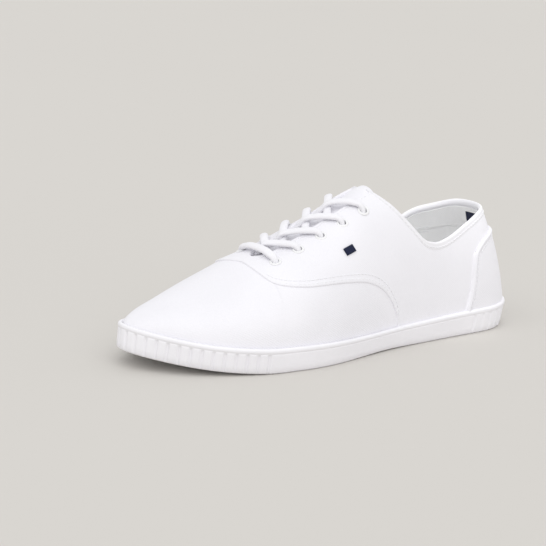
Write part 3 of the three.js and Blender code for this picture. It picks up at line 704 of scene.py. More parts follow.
def place(name: str, mesh: bpy.types.Mesh, finish: bpy.types.Material, slot: str) -> bpy.types.Object:
    """Links a mesh as a piece that rides on the shoe.

    Args:
        name: the piece's name.
        mesh: its mesh, in metres.
        finish: its material.
        slot: the record's material slot; not used.

    Returns:
        The new object.
    """
    piece = loose(name, mesh)
    mesh.materials.clear()
    mesh.materials.append(finish)
    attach(piece, ROOT)
    return piece


def round_heel(x: Array) -> tuple[Array, Array]:
    """Places and sides of a walk round the heel, from the outer side's last place to the inner's."""
    order, side = both_sides(np.arange(len(x)))
    return x[order], side


def both_sides(columns: Array) -> tuple[Array, Array]:
    """Walks columns on the outer side backward, then the inner side forward.

    Args:
        columns: column numbers from the walk's middle outward.

    Returns:
        The column numbers in the order of the walk, and the side of each.
    """
    order = np.concatenate([columns[::-1], columns[1:]])
    sides = np.concatenate([np.full(len(columns), LATERAL), np.full(len(columns) - 1, MEDIAL)])
    return order, sides


def new_tree(kind: str, name: str, inputs: dict[str, tuple[str, float]], outputs: dict[str, str]) -> tuple:
    """Starts a node tree with named inputs and outputs.

    Args:
        kind: the tree's type name.
        name: the tree's name.
        inputs: each input's name, with its socket type and default.
        outputs: each output's name, with its socket type.

    Returns:
        The tree's wiring, its input node, its output node and the inputs' identifiers.
    """
    tree = bpy.data.node_groups.new(name, kind)
    names = {}
    for label, (sort, value) in inputs.items():
        socket = tree.interface.new_socket(label, in_out="INPUT", socket_type=sort)
        if sort == "NodeSocketFloat":
            socket.default_value = value
        names[label] = socket.identifier
    for label, sort in outputs.items():
        tree.interface.new_socket(label, in_out="OUTPUT", socket_type=sort)
    return Wiring(tree), tree.nodes.new("NodeGroupInput"), tree.nodes.new("NodeGroupOutput"), names


class Wiring:
    """Adds and joins nodes of one tree."""

    def __init__(self, tree: bpy.types.NodeTree) -> None:
        """Takes the tree to work on."""
        self.tree = tree

    def add(self, kind: str, values: dict | None = None, **traits: object) -> bpy.types.Node:
        """Adds a node.

        Args:
            kind: the node's type name.
            values: values or sources for its inputs, by name or number.
            traits: properties of the node itself.

        Returns:
            The new node.
        """
        node = self.tree.nodes.new(kind)
        for key, value in traits.items():
            setattr(node, key, value)
        self.fill(node, values or {})
        return node

    def fill(self, node: bpy.types.Node, values: dict) -> None:
        """Puts values or sources into a node's inputs, by name or number."""
        for key, value in values.items():
            self.put(node.inputs[key], value)

    def put(self, socket: bpy.types.NodeSocket, value: object) -> None:
        """Links a source to a socket, or sets the socket's own value.

        Args:
            socket: the input socket.
            value: an output socket, or a plain value.
        """
        if isinstance(value, bpy.types.NodeSocket):
            self.tree.links.new(value, socket)
        else:
            socket.default_value = value

    def math(self, operation: str, *terms: object) -> bpy.types.NodeSocket:
        """Result of a math node on numbers or sources."""
        return self.add("ShaderNodeMath", dict(enumerate(terms)), operation=operation).outputs[0]

    def toned(self, mask: bpy.types.NodeSocket, light: Colour, shade: Colour) -> bpy.types.NodeSocket:
        """Colour from a light tone to a shaded one, by a mask."""
        return self.add("ShaderNodeMix", {0: mask, 6: light, 7: shade}, data_type="RGBA").outputs[2]

    def relief(self, height: bpy.types.NodeSocket, strength: float, depth: float) -> bpy.types.NodeSocket:
        """Normal of a bumpy surface, from its height."""
        values = {"Strength": strength, "Distance": depth, "Height": height}
        return self.add("ShaderNodeBump", values).outputs[0]


def weave_group() -> bpy.types.NodeTree:
    """Makes the group for a plain weave of warp and weft threads.

    Returns:
        The group, from coordinates on the cloth to the threads' height and the painted shade of their dips.
    """
    wire, start, end, _ = new_tree(
        "ShaderNodeTree", "plain_weave",
        {"Vector": ("NodeSocketVector", 0.0), "Threads": ("NodeSocketFloat", 1500.0),
         "Slub": ("NodeSocketFloat", 0.5)},
        {"Height": "NodeSocketFloat", "Shade": "NodeSocketFloat"},
    )
    slub = wire.add(
        "ShaderNodeTexNoise",
        {"Vector": start.outputs["Vector"], "Scale": 260.0, "Detail": 3.0, "Roughness": 0.6},
    )
    parts = wire.add("ShaderNodeSeparateXYZ", {"Vector": start.outputs["Vector"]})
    waver = wire.math("MULTIPLY", slub.outputs["Fac"], 1.6)
    phase = [
        wire.math("ADD", wire.math("MULTIPLY", parts.outputs[k], start.outputs["Threads"]), waver)
        for k in (0, 1)
    ]
    warp, weft = (wire.math("SINE", wire.math("MULTIPLY", value, math.pi)) for value in phase)
    crossing = wire.math("MULTIPLY", warp, weft)
    loft = wire.math("MULTIPLY", slub.outputs["Fac"], start.outputs["Slub"])
    height = wire.math("MULTIPLY_ADD", crossing, 0.5, loft)
    # Shade falls to 0 where the threads dip; the finishes darken those dips as painted shade.
    wire.fill(end, {"Height": height, "Shade": wire.math("MULTIPLY_ADD", crossing, 0.5, 0.5)})
    return wire.tree


def soil_group() -> bpy.types.NodeTree:
    """Makes the group for a faint unevenness of tone, in broad clouds with fine specks.

    Returns:
        The group, from an amount to a mask.
    """
    amount, mask = {"Amount": ("NodeSocketFloat", 0.5)}, {"Mask": "NodeSocketFloat"}
    wire, start, end, _ = new_tree("ShaderNodeTree", "faint_soil", amount, mask)
    place_at = wire.add("ShaderNodeTexCoord").outputs["Object"]
    cloud = wire.add("ShaderNodeTexNoise", {"Vector": place_at, "Scale": 28.0, "Detail": 4.0})
    speck = wire.add("ShaderNodeTexNoise", {"Vector": place_at, "Scale": 900.0, "Detail": 2.0})
    both = wire.math("MULTIPLY_ADD", speck.outputs["Fac"], 0.3, cloud.outputs["Fac"])
    spread = wire.add("ShaderNodeMapRange", {"Value": both, "From Min": 0.5, "From Max": 0.9})
    wire.put(end.inputs["Mask"], wire.math("MULTIPLY", spread.outputs[0], start.outputs["Amount"]))
    return wire.tree


WEAVE = weave_group()
SOIL = soil_group()


def started(name: str) -> tuple[bpy.types.Material, Wiring, bpy.types.Node]:
    """Starts a material with its Principled shader wired to the output.

    Args:
        name: the material's name.

    Returns:
        The material, its wiring and its shader node.
    """
    finish = bpy.data.materials.new(name)
    finish.use_nodes = True
    finish.node_tree.nodes.clear()
    wire = Wiring(finish.node_tree)
    shader = wire.add("ShaderNodeBsdfPrincipled")
    wire.add("ShaderNodeOutputMaterial", {"Surface": shader.outputs[0]})
    return finish, wire, shader


@dataclass(frozen=True)
class WovenFinish:
    """Cotton cloth or tape, its weave laid by the piece's own cloth coordinates, its low places darkened as
    painted shade.
    """

    name: str
    light: Colour
    shade: Colour
    threads: float = 1500.0
    relief: float = 0.5
    depth: float = 0.00012
    soil: float = 0.35
    slub: float = 0.6
    roughness: float = 0.9
    sheen: float = 0.15

    @cache
    def material(self) -> bpy.types.Material:
        """Makes the material once, for every piece that wears it.

        Returns:
            The material.
        """
        finish, wire, shader = started(self.name)
        coords = wire.add("ShaderNodeUVMap", uv_map="cloth").outputs["UV"]
        threads = {"Vector": coords, "Threads": self.threads, "Slub": self.slub}
        weave = wire.add("ShaderNodeGroup", threads, node_tree=WEAVE)
        soil = wire.add("ShaderNodeGroup", {"Amount": self.soil}, node_tree=SOIL)
        # painted shade: the weave's low places are darkened towards the shade tone, and the random soil is
        # added on top
        hollow_shade = wire.math("MULTIPLY_ADD", weave.outputs["Shade"], -0.25, 0.25)
        mask = wire.math("ADD", hollow_shade, soil.outputs["Mask"])
        wire.fill(shader, {
            "Base Color": wire.toned(mask, self.light, self.shade),
            "Normal": wire.relief(weave.outputs["Height"], self.relief, self.depth),
            "Roughness": self.roughness, "Sheen Weight": self.sheen, "Specular IOR Level": 0.25,
        })
        return finish


@dataclass(frozen=True)
class RubberFinish:
    """Moulded rubber with a fine grain, rougher where the grain stands high."""

    name: str
    light: Colour
    shade: Colour
    roughness: float = 0.5
    grain: float = 1400.0
    relief: float = 0.25
    depth: float = 0.00005
    soil: float = 0.5

    @cache
    def material(self) -> bpy.types.Material:
        """Makes the material once, for every piece that wears it.

        Returns:
            The material.
        """
        finish, wire, shader = started(self.name)
        at = wire.add("ShaderNodeTexCoord").outputs["Object"]
        noise = wire.add("ShaderNodeTexNoise", {"Vector": at, "Scale": self.grain, "Detail": 3.0})
        grain = noise.outputs["Fac"]
        soil = wire.add("ShaderNodeGroup", {"Amount": self.soil}, node_tree=SOIL)
        wire.fill(shader, {
            "Base Color": wire.toned(soil.outputs["Mask"], self.light, self.shade),
            "Normal": wire.relief(grain, self.relief, self.depth),
            "Roughness": wire.math("MULTIPLY_ADD", grain, 0.2, self.roughness - 0.1),
            "Specular IOR Level": 0.4,
        })
        return finish


WHITE = (0.885, 0.877, 0.918, 1.0)
# The shade tones take the painted shade of the weave's low places, and the random soil.
WHITE_SHADE = (0.79, 0.785, 0.825, 1.0)
NAVY = (0.011, 0.016, 0.05, 1.0)
NAVY_SHADE = (0.004, 0.006, 0.02, 1.0)
CANVAS = WovenFinish("white_canvas", WHITE, WHITE_SHADE)
# The lining's white is set brighter than the canvas's: partly its own white cloth, partly painted light
# that lifts the shade inside the shoe.
BRIGHTENED_LINING = WovenFinish("cotton_lining", (0.955, 0.955, 0.955, 1.0), (0.9, 0.9, 0.9, 1.0), threads=1200.0)
TAPE = WovenFinish("binding_tape", (0.9, 0.893, 0.925, 1.0), WHITE_SHADE, threads=2200.0, soil=0.2)
CORD = WovenFinish(
    "lace_cotton", (0.9, 0.893, 0.93, 1.0), (0.74, 0.735, 0.77, 1.0),
    threads=1400.0, relief=0.6, depth=0.00015, soil=0.2,
)
NAVY_TAPE = WovenFinish("navy_tape", NAVY, NAVY_SHADE, threads=1600.0, relief=0.8, soil=0.2)
THREAD = WovenFinish("sewing_thread", (0.9, 0.9, 0.92, 1.0), (0.74, 0.74, 0.77, 1.0), 3000.0, 0.8)
RUBBER = RubberFinish("white_rubber", (0.915, 0.907, 0.945, 1.0), (0.84, 0.832, 0.865, 1.0))
TREAD = RubberFinish("tread_rubber", (0.84, 0.84, 0.85, 1.0), (0.7, 0.7, 0.71, 1.0), roughness=0.65)
ENAMEL = RubberFinish("white_enamel", (0.88, 0.88, 0.89, 1.0), (0.8, 0.8, 0.8, 1.0), 0.32, 500.0, 0.1)

EDGE_STEPS = np.array([0.0, 0.12, 0.3, 0.55, 0.9, 1.4, 2.0, 2.8])


def edge_rows(length: Array, between: int) -> Array:
    """Shares up each column of a panel, close together at both of its edges.

    Args:
        length: each column's length in millimetres.
        between: rows between the two edges' own.

    Returns:
        Rows by columns, from 0 at the foot to 1 at the top.
    """
    length = np.maximum(length, 1e-3)
    near = EDGE_STEPS[:, None] * np.minimum(1.0, length / 7.0) / length
    inner = np.linspace(0.0, 1.0, between + 2)[1:-1, None]
    return np.concatenate([near, mix(near[-1:], 1 - near[-1:], inner), 1 - near[::-1]])


def rolled(distance: Array, radius: float, swell: float) -> Array:
    """Rise of a turned edge: round at its rim, with a soft swell just behind it.

    Args:
        distance: how far in from the rim, in millimetres.
        radius: length of the rounded rim.
        swell: height of the swell, as a share of the edge's thickness.

    Returns:
        0 at the rim, near 1 behind it.
    """
    rim = np.sqrt(1 - (1 - np.clip(distance / radius, 0.0, 1.0)) ** 2)
    return rim + swell * np.exp(-(((distance - 2 * radius) / (1.4 * radius)) ** 2))


@dataclass
class Quarter:
    """Rear canvas panel: heel, sides and eyestays, lapped over the vamp by a turned edge.

    A row of the seam is the lapped edge's place and height, and the place at the top above it.
    """

    lap: float = Cloth.QUARTER.value
    canvas: float = -Cloth.INSIDE.value
    tuck: float = 5.5
    step: float = 1.5
    rows: int = 34
    columns: int = 130
    hole: float = 4.2
    seam: tuple[Point, ...] = (
        (-45.0, 0.0, -45.0), (-31.0, 0.0, -33.0), (-28.6, 20.1, -31.0), (-24.1, 28.4, -27.5),
        (-18.4, 35.0, -23.0), (-11.6, 39.4, -17.0), (-4.2, 42.0, -10.0), (8.0, 43.6, 3.0),
        (24.1, 44.3, 17.0), (40.9, 44.2, 29.0), (48.0, 44.7, 35.5), (52.5, 45.4, 39.8),
        (56.3, 46.7, 43.6), (58.0, 48.8, 46.0), (58.3, 51.3, 48.0), (57.3, 90.0, 50.0),
    )

    def __post_init__(self) -> None:
        """Works out the panel's columns: where each starts at the foot and ends at the top."""
        rear = rear_places(22, -46.0, self.step)
        foot_x, foot_z, top_x = (np.array([row[k] for row in self.seam]) for k in range(3))
        turns = LAST.turn_at(foot_x, foot_z)
        gone = list(run_length(LAST.cloth(LAST.along(foot_x), LATERAL, turns, 0.0)))
        at = np.linspace(0.0, gone[-1], self.columns)
        foot, turn = Track(gone, list(foot_x))(at), Track(gone, list(turns))(at)
        self.foot_x = np.concatenate([rear, foot])
        self.top_x = np.concatenate([rear, np.interp(at, gone, top_x)])
        self.foot_turn = np.concatenate([np.zeros(len(rear)), np.clip(turn, 0.0, CREST)])
        self.on_vamp = ease((self.foot_turn - 0.02) / 0.05)

    def panel(self, rows: Array, side: Array, order: Array, out: Array, drop: Array = 0.0) -> Array:
        """Points of the panel.

        Args:
            rows: shares up each column, rows by columns.
            side: LATERAL or MEDIAL for each column.
            order: the column numbers.
            out: distance out from the last's face.
            drop: how far each point is let down.

        Returns:
            Points in millimetres.
        """
        x = mix(self.foot_x[order], self.top_x[order], rows)
        top_along = LAST.along(self.top_x[order])
        top = LAST.edge(top_along, side)
        turn = mix(self.foot_turn[order], top, rows)
        return LAST.cloth(LAST.along(x), side, turn, out, drop)

    def lengths(self, side: Array, order: Array) -> Array:
        """Measures the columns from foot to top.

        Args:
            side: LATERAL or MEDIAL for each column.
            order: the column numbers.

        Returns:
            Each column's length in millimetres.
        """
        rows = np.linspace(0.0, 1.0, 24)[:, None] * np.ones(len(order))
        points = self.panel(rows, side, order, 0.0)
        return np.linalg.norm(np.diff(points, axis=0), axis=2).sum(axis=0)

    def line(self, side: int, distance: float, first: float, last: float, from_top: bool) -> Array:
        """Points on the panel's face, at a distance from its lapped or its free edge.

        Args:
            side: LATERAL or MEDIAL.
            distance: how far in from the edge, in millimetres.
            first: the line's first place ahead of the origin, measured on that edge.
            last: its last place.
            from_top: whether the edge is the free one.

        Returns:
            Points in millimetres.
        """
        at = self.top_x if from_top else self.foot_x
        gone = np.arange(len(at))
        order = gone[(at >= first) & (at <= last) & (self.foot_turn < CREST - 0.02)]
        if not from_top:
            order = order[self.foot_turn[order] > 0.02]
        sides = np.full(len(order), side)
        share = np.clip(distance / np.maximum(self.lengths(sides, order), 1e-3), 0.0, 1.0)
        rows = (1 - share if from_top else share)[None]
        return self.panel(rows, sides, order, self.lap + 0.12)[0]

    def build(self, holes: bpy.types.Object) -> bpy.types.Object:
        """Makes the panel as one shell, with the eyelet holes cut through it.

        Args:
            holes: punches for the eyelet holes, used up by the cut.

        Returns:
            The panel as a piece.
        """
        order, side = both_sides(np.arange(len(self.foot_x)))
        length = self.lengths(side, order)
        rows = edge_rows(length, self.rows)
        near_foot = rows * length
        near_top = (1 - rows) * length
        lapped = self.on_vamp[order]
        roll_foot = mix(1.0, rolled(near_foot, 0.55, 0.35), lapped)
        roll_top = rolled(near_top, 0.6, 0.25)
        outer = mix(-0.4, self.lap, roll_top) * roll_foot
        under = mix(-self.canvas, 0.02, lapped * (1 - ease((near_foot - 3.4) / 1.4)))
        inner = mix(-0.4, under, np.minimum(roll_top, 1.0))
        x = mix(self.foot_x[order], self.top_x[order], rows)
        turn = mix(self.foot_turn[order], LAST.edge(LAST.along(self.top_x[order]), side), rows)
        far, up, _ = LAST.unrolled(LAST.along(x), side, turn)
        coords = np.stack([side * far, up], axis=-1)
        coords = np.concatenate([coords[:1] - [0.0, self.tuck], coords])
        drop = self.tuck * (1 - lapped)
        faces = []
        for out in (outer, inner):
            foot = self.panel(rows[:1], side, order, out[:1], drop)
            faces.append(np.concatenate([foot, self.panel(rows, side, order, out)]))
        sheet = Surface("canvas_quarter").shell(*faces, coords, ends=False)
        return place("canvas_quarter", pierced(sheet.helper(), holes), CANVAS.material(), "upper")


def pierced(sheet: bpy.types.Object, holes: bpy.types.Object) -> bpy.types.Mesh:
    """Cuts punches out of a loose sheet, and clears both away.

    Args:
        sheet: the loose object to cut.
        holes: the punches, as one loose object.

    Returns:
        The cut sheet as a plain mesh.
    """
    cut = sheet.modifiers.new("holes", "BOOLEAN")
    cut.operation, cut.solver, cut.object = "DIFFERENCE", "EXACT", holes
    mesh = baked(sheet)
    for spent in (sheet, holes):
        bpy.data.objects.remove(spent)
    return mesh


def baked(piece: bpy.types.Object) -> bpy.types.Mesh:
    """Plain mesh of a piece with its modifiers worked out."""
    graph = bpy.context.evaluated_depsgraph_get()
    return bpy.data.meshes.new_from_object(piece.evaluated_get(graph), depsgraph=graph)


@dataclass
class Vamp:
    """Front canvas panel over toe and sides, its rear edge tucked under the quarter.

    A row of the rear edge is a place at the foot, and the edge's place and height above it.
    """

    thickness: float = 1.5
    tuck: float = 5.5
    rows: int = 46
    columns: int = 90
    rear: tuple[Point, ...] = (
        (-37.0, -36.5, 13.0), (-34.0, -33.0, 20.1), (-28.0, -28.5, 30.0), (-20.0, -22.0, 37.0),
        (-10.0, -14.0, 41.8), (2.0, -4.0, 45.0), (18.0, 8.0, 46.6), (30.0, 24.0, 47.3),
        (42.0, 41.0, 47.2), (49.0, 48.0, 48.0), (54.0, 52.0, 49.8), (56.5, 53.4, 52.0),
        (58.0, 53.0, 62.0),
    )

    def build(self) -> bpy.types.Object:
        """Makes the panel as one shell round the toe.

        Returns:
            The panel as a piece.
        """
        foot_x, top_x, top_z = (np.array([row[k] for row in self.rear]) for k in range(3))
        turns = LAST.turn_at(top_x, top_z)
        turns[-1] = CREST
        at = np.linspace(0.0, foot_x[-1] - foot_x[0], self.columns) + foot_x[0]
        ahead = toe_places(46, foot_x[-1])[1:]
        foot = np.concatenate([at, ahead])
        top = np.concatenate([np.interp(at, foot_x, top_x), ahead - 5.0 * ease((82.0 - ahead) / 24.0)])
        turn = np.concatenate([np.interp(at, foot_x, turns), np.full(len(ahead), CREST)])
        order, side = both_sides(np.arange(len(foot))[::-1])
        rows = np.linspace(0.0, 1.0, self.rows)[:, None]
        x = mix(foot[order], top[order], rows)
        turned = turn[order] * rows

        def face(out: float) -> Array:
            """Lays out one face of the panel, its foot let down inside the rubber.

            Args:
                out: distance out from the last's face.

            Returns:
                Points in millimetres.
            """
            points = LAST.cloth(LAST.along(x), side, turned, out)
            low = LAST.cloth(LAST.along(x[:1]), side, turned[:1], out, self.tuck)
            return np.concatenate([low, points])

        _, _, down = LAST.unrolled(LAST.along(x), side, turned)
        coords = np.stack([x, side * down], axis=-1)
        coords = np.concatenate([coords[:1] + np.stack([0.0 * side, side * self.tuck], axis=-1), coords])
        joined = turn[order] > CREST - 1e-6
        faces = [face(Cloth.VAMP.value), face(Cloth.VAMP.value - self.thickness)]
        surface = Surface("canvas_vamp").shell(*faces, coords, joined)
        return surface.build(CANVAS.material(), "upper")


@dataclass
class Sole:
    """Rubber sole: ribbed bumper round toe and heel, bead along the top, tread underneath."""

    rib: float = 6.4
    groove: float = 1.7
    groove_depth: float = 0.8
    toe_ribs: float = 90.0
    heel_ribs: float = 64.0
    step: float = 0.42
    rim: float = 5.0
    tread_depth: float = 1.0
    bar_pitch: float = 5.2
    bar_width: float = 2.6
    first_bar: float = -121.0
    last_bar: float = 124.0
    shortest_bar: float = 6.0
    wave: float = 18.0
    wave_depth: float = 1.5

    def profile(self) -> list[tuple[float, float, float]]:
        """Gives the side's section.

        Returns:
            Rows of rise as a share of the height, inset in millimetres, and share of ribbing.
        """
        t = LAST.tuck
        return [
            (0.0, t + 0.55, 0.0), (0.008, t + 0.2, 0.3), (0.03, t * 0.88, 0.7), (0.07, t * 0.7, 1.0),
            (0.3, t * 0.5, 1.0), (0.55, t * 0.33, 1.0), (0.72, t * 0.2, 1.0), (0.765, t * 0.17, 0.8),
            (0.785, t * 0.19, 0.2), (0.8, t * 0.2, 0.0), (0.815, t * 0.17, 0.0), (0.835, t * 0.08, 0.0),
            (0.87, t * 0.01, 0.0), (0.93, t * 0.0, 0.0), (0.965, t * 0.05, 0.0), (0.99, t * 0.16, 0.0),
            (1.0, t * 0.3, 0.0),
        ]

    def stations(self) -> tuple[Array, Array]:
        """Spaces places evenly round one side, and the grooves over them.

        Returns:
            Shares of the length, and the grooves' share of their depth at each.
        """
        fine = (1 - np.cos(np.linspace(0.0, math.pi, 4001))) / 2
        x, middle, half = LAST.outline(fine, 0.0)
        step = np.hypot(np.diff(x), np.diff(middle + half))
        far = np.concatenate([[0.0], np.cumsum(step)])
        even = np.linspace(0.0, far[-1], int(far[-1] / self.step) + 1)
        from_tip = far[-1] - even
        depth = np.zeros(len(even))
        for gone, stretch in ((even, self.heel_ribs), (from_tip, self.toe_ribs)):
            count = math.floor(stretch / self.rib)
            phase = np.abs((gone / self.rib) % 1.0 - 0.5) * self.rib
            cut = 1 - ease((phase - self.groove * 0.15) / (self.groove * 0.62))
            depth = np.maximum(depth, np.where(gone < count * self.rib, cut, 0.0))
        return np.interp(even, far, fine), depth

    def ring(self, along: Array, inset: Array, height: Array) -> Array:
        """Walks a ring of points from the toe along the outer side and back along the inner.

        Args:
            along: share of the length.
            inset: distance inside the outline.
            height: height above the underside.

        Returns:
            Points in millimetres.
        """
        x, middle, half = LAST.outline(along, inset)
        outer = LAST.bend(x, middle + half, height)[::-1]
        inner = LAST.bend(x, middle - half, height)[1:-1]
        return np.concatenate([outer, inner])

    def build(self) -> bpy.types.Object:
        """Makes the rubber, hollow on top and recessed under the tread's rim.

        Returns:
            The piece.
        """
        along, depth = self.stations()
        top, level, wall = LAST.rubber_top(along), 0.0 * along, LAST.wall
        below = [(self.rim + 0.7, level + self.tread_depth), (self.rim, level)]
        face = [
            (inset + self.groove_depth * depth * ribbed, rise * top)
            for rise, inset, ribbed in self.profile()
        ]
        inside = [(1.4, top + 0.05), (wall - 0.5, top), (wall, top - 0.5), (wall, LAST.floor(along))]
        rings = [self.ring(along, inset, height) for inset, height in below + face + inside]
        surface = Surface("rubber_sole").grid(np.stack(rings), closed=True)
        for inset, height in (below[0], inside[-1]):
            surface.grid(self.crossed(along, inset, height))
        return surface.build(RUBBER.material(), "sole", crisp=40.0)

    def crossed(self, along: Array, inset: float, height: Array) -> Array:
        """Lays out a level face across the shoe, from the outer side to the inner.

        Args:
            along: share of the length.
            inset: distance inside the outline.
            height: height above the underside.

        Returns:
            Points in millimetres.
        """
        x, middle, half = LAST.outline(along, inset)
        share = np.array([[1.0], [-1.0]])
        return LAST.bend(x, middle + share * half, height)

    def tread(self) -> bpy.types.Object:
        """Makes the tread's wavy cross bars, one strip repeated along the underside.

        Returns:
            The piece.
        """
        surface = Surface("tread_bars")
        inset = self.rim + 1.6
        share = np.linspace(-1.0, 1.0, 49)
        side = self.bar_width / 2
        profile = [(-side, 1.05), (-side + 0.3, 0.0), (side - 0.3, 0.0), (side, 1.05)]
        for middle_x in np.arange(self.first_bar, self.last_bar, self.bar_pitch):
            reach = (middle_x + np.array([-1.4, 3.0])) / (LAST.length - 2 * inset) + 0.5
            _, middles, halves = LAST.outline(np.clip(reach, 0.0, 1.0), inset)
            middle, half = middles.mean(), halves.min()
            if half < self.shortest_bar / 2:
                continue
            y = middle + share * half
            wave = self.wave_depth * np.abs((y / (self.wave / 2)) % 2.0 - 1.0) + middle_x
            ring = np.stack([LAST.bend(wave + dx, y, np.full(len(y), h)) for dx, h in profile], axis=1)
            surface.grid(ring, closed=True).cap(ring[0]).cap(ring[-1])
        return surface.build(TREAD.material(), "sole", crisp=30.0)


@dataclass
class HeelCap:
    """Canvas cap behind the heel with a piped edge, its rows shares of the reach and of the height."""

    face: float = 0.68
    sunk: float = 0.4
    plate: float = 0.8
    piping: float = 0.9
    piping_width: float = 2.6
    drop: float = 13.5
    reach: float = 46.5
    edge: tuple[tuple[float, float], ...] = (
        (1.0, 0.0), (0.99, 0.03), (0.94, 0.22), (0.91, 0.42), (0.89, 0.61),
        (0.86, 0.74), (0.77, 0.85), (0.6, 0.95), (0.45, 0.99), (0.15, 1.0),
    )

    def border(self) -> Array:
        """Traces the cap's edge.

        Returns:
            Lengths round the heel and heights, from the edge's front foot to its middle.
        """
        ahead, share = (np.array([row[k] for row in self.edge]) for k in (0, 1))
        low, high = self.foot(), LAST.collar - self.drop
        gone = list(run_length(np.stack([ahead * self.reach, share * (high - low)], axis=1)))
        at = np.linspace(0.0, gone[-1], 260)
        goal = Track(gone, list(ahead))(at) * self.reach - LAST.length / 2
        height = mix(low, high, Track(gone, list(share))(at))
        x = goal
        for _ in range(8):
            x = goal - LAST.leaned(x, height, LAST.rubber_top(LAST.along(x)) - LAST.seat_drop)
        last = int(np.argmax(x <= -LAST.length / 2))
        middle = np.interp(-LAST.length / 2, x[[last, last - 1]], height[[last, last - 1]])
        far = LAST.unrolled(LAST.along(x[:last]), LATERAL, 0.0)[0]
        return np.stack([np.append(far, 0.0), np.append(height[:last], middle)], axis=1)

    @staticmethod
    def foot() -> float:
        """Height of the cap's foot, at the top of the rubber."""
        return float(LAST.rubber_top(0.0)) + LAST.gap

    @staticmethod
    def on_heel(flat: Array, side: int, out: Array) -> Array:
        """Points on the heel from lengths round it and heights."""
        x = (np.interp(flat[..., 0], LAST.far[0], LAST.grid_along) - 0.5) * LAST.length
        return LAST.cloth(LAST.along(x), side, LAST.turn_at(x, flat[..., 1]), out)

    def field(self) -> Array:
        """Spans an even net between the heel's middle, the rubber and the cap's edge.

        Returns:
            Lengths round the heel and heights, rows by columns.
        """
        edge = self.border()
        low = self.foot()
        corner = int(np.argmax(edge[:, 0] / edge[0, 0] + (edge[:, 1] - low) / (edge[-1, 1] - low)))
        near = 1 - EDGE_STEPS[::-1] / 40.0
        share = np.concatenate([np.linspace(0.0, near[0], 34)[:-1], near])
        up = [np.interp(share, run_share(edge[: corner + 1]), edge[: corner + 1, k]) for k in (0, 1)]
        back = edge[corner:][::-1]
        over = [np.interp(share, run_share(back), back[:, k]) for k in (0, 1)]
        a, b = share[None, :], share[:, None]
        length = b * over[0] + a * up[0][:, None] - a * b * edge[corner, 0]
        height = b * over[1] + a * up[1][:, None] - a * b * edge[corner, 1] + (1 - a) * (1 - b) * low
        return np.stack([length, height], axis=-1)

    def build(self) -> bpy.types.Object:
        """Makes the cap as a closed skin, thin in its field and round at its piping.

        Returns:
            The piece.
        """
        flat = self.field()
        surface = Surface("heel_cap")
        halves = []
        for side in (LATERAL, MEDIAL):
            base = self.on_heel(flat, side, self.face)
            edge = self.on_heel(self.border(), side, self.face)
            inward = np.linalg.norm(base[:, :, None] - edge, axis=-1).min(axis=2)
            ridge = np.sin(np.clip(inward / self.piping_width, 0.0, 1.0) * math.pi) ** 0.7
            rim = rolled(inward, 0.5, 0.0)
            rise = (self.face - self.sunk + self.plate) * rim + self.piping * ridge
            outer = self.sunk + rise * np.minimum(rim * 1.5, 1.0)
            faces = [self.on_heel(flat, side, out) for out in (outer, self.sunk - 0.1)]
            halves.append([np.concatenate([face[:1] - [0.0, 0.0, 3.0], face]) for face in faces])
        outer, inner = (
            np.concatenate([halves[0][k][:, ::-1], halves[1][k][:, 1:]], axis=1) for k in (0, 1)
        )
        return surface.shell(outer, inner).build(CANVAS.material(), "heel_patch")

    def line(self, inward: float) -> Array:
        """Follows the cap's edge from its outer foot to its inner one.

        Args:
            inward: the distance inside the edge.

        Returns:
            Points in millimetres.
        """
        edge = self.border()
        way = np.gradient(edge, axis=0)
        way /= np.linalg.norm(way, axis=1, keepdims=True)
        inside = edge + inward * np.stack([-way[:, 1], way[:, 0]], axis=1)
        near = np.linalg.norm(inside[:, None] - edge, axis=-1).min(axis=1)
        inside = inside[(inside[:, 0] > 0.3) & (inside[:, 1] > self.foot() + 0.5) & (near > inward - 0.1)]
        out = self.face + self.plate + 0.1
        outer, inner = (self.on_heel(inside, side, out) for side in (LATERAL, MEDIAL))
        return np.concatenate([outer, inner[::-1]])


@dataclass
class Binding:
    """Folded tape over the collar's edge."""

    depth: float = 4.0
    inner_depth: float = 3.0
    outer: float = 1.0
    inner: float = -2.15
    crest: float = 0.75

    def profile(self) -> list[tuple[float, float]]:
        """Gives the tape's section.

        Returns:
            Distance out and distance above the collar's edge, point by point.
        """
        middle, half = (self.outer + self.inner) / 2, (self.outer - self.inner) / 2
        turn = np.linspace(0.0, math.pi, 13)
        roll = [
            (middle + half * math.cos(t) * 1.04, -0.9 + (self.crest + 0.9) * math.sin(t)) for t in turn
        ]
        outside = [
            (self.outer - 0.42, -self.depth), (self.outer - 0.27, -self.depth + 0.2),
            (self.outer - 0.22, -self.depth + 0.8), (self.outer - 0.24, -2.3), (self.outer - 0.14, -1.7),
        ]
        hem = -self.inner_depth
        inside = [(self.inner + 0.15, -1.7), (self.inner + 0.12, hem + 0.3), (self.inner + 0.4, hem)]
        return outside + roll + inside

    def places(self) -> Array:
        """Places ahead of the origin along one side, from the heel to the throat's corner."""
        return np.append(rear_places(26, LAST.throat_top, 0.9), LAST.throat_top - 0.05)

    def build(self) -> bpy.types.Object:
        """Makes the tape.

        Returns:
            The piece.
        """
        x, side = round_heel(self.places())
        along = LAST.along(x)
        grid = np.stack([LAST.from_edge(along, side, up, out) for out, up in self.profile()], axis=1)
        surface = Surface("collar_tape").grid(grid, closed=True).cap(grid[0]).cap(grid[-1])
        return surface.build(TAPE.material(), "collar_binding", crisp=70.0)

    def line(self) -> Array:
        """Points of the seam that holds the tape, round its outer face."""
        x, side = round_heel(self.places())
        return LAST.from_edge(LAST.along(x), side, -self.depth + 1.1, self.outer - 0.12)


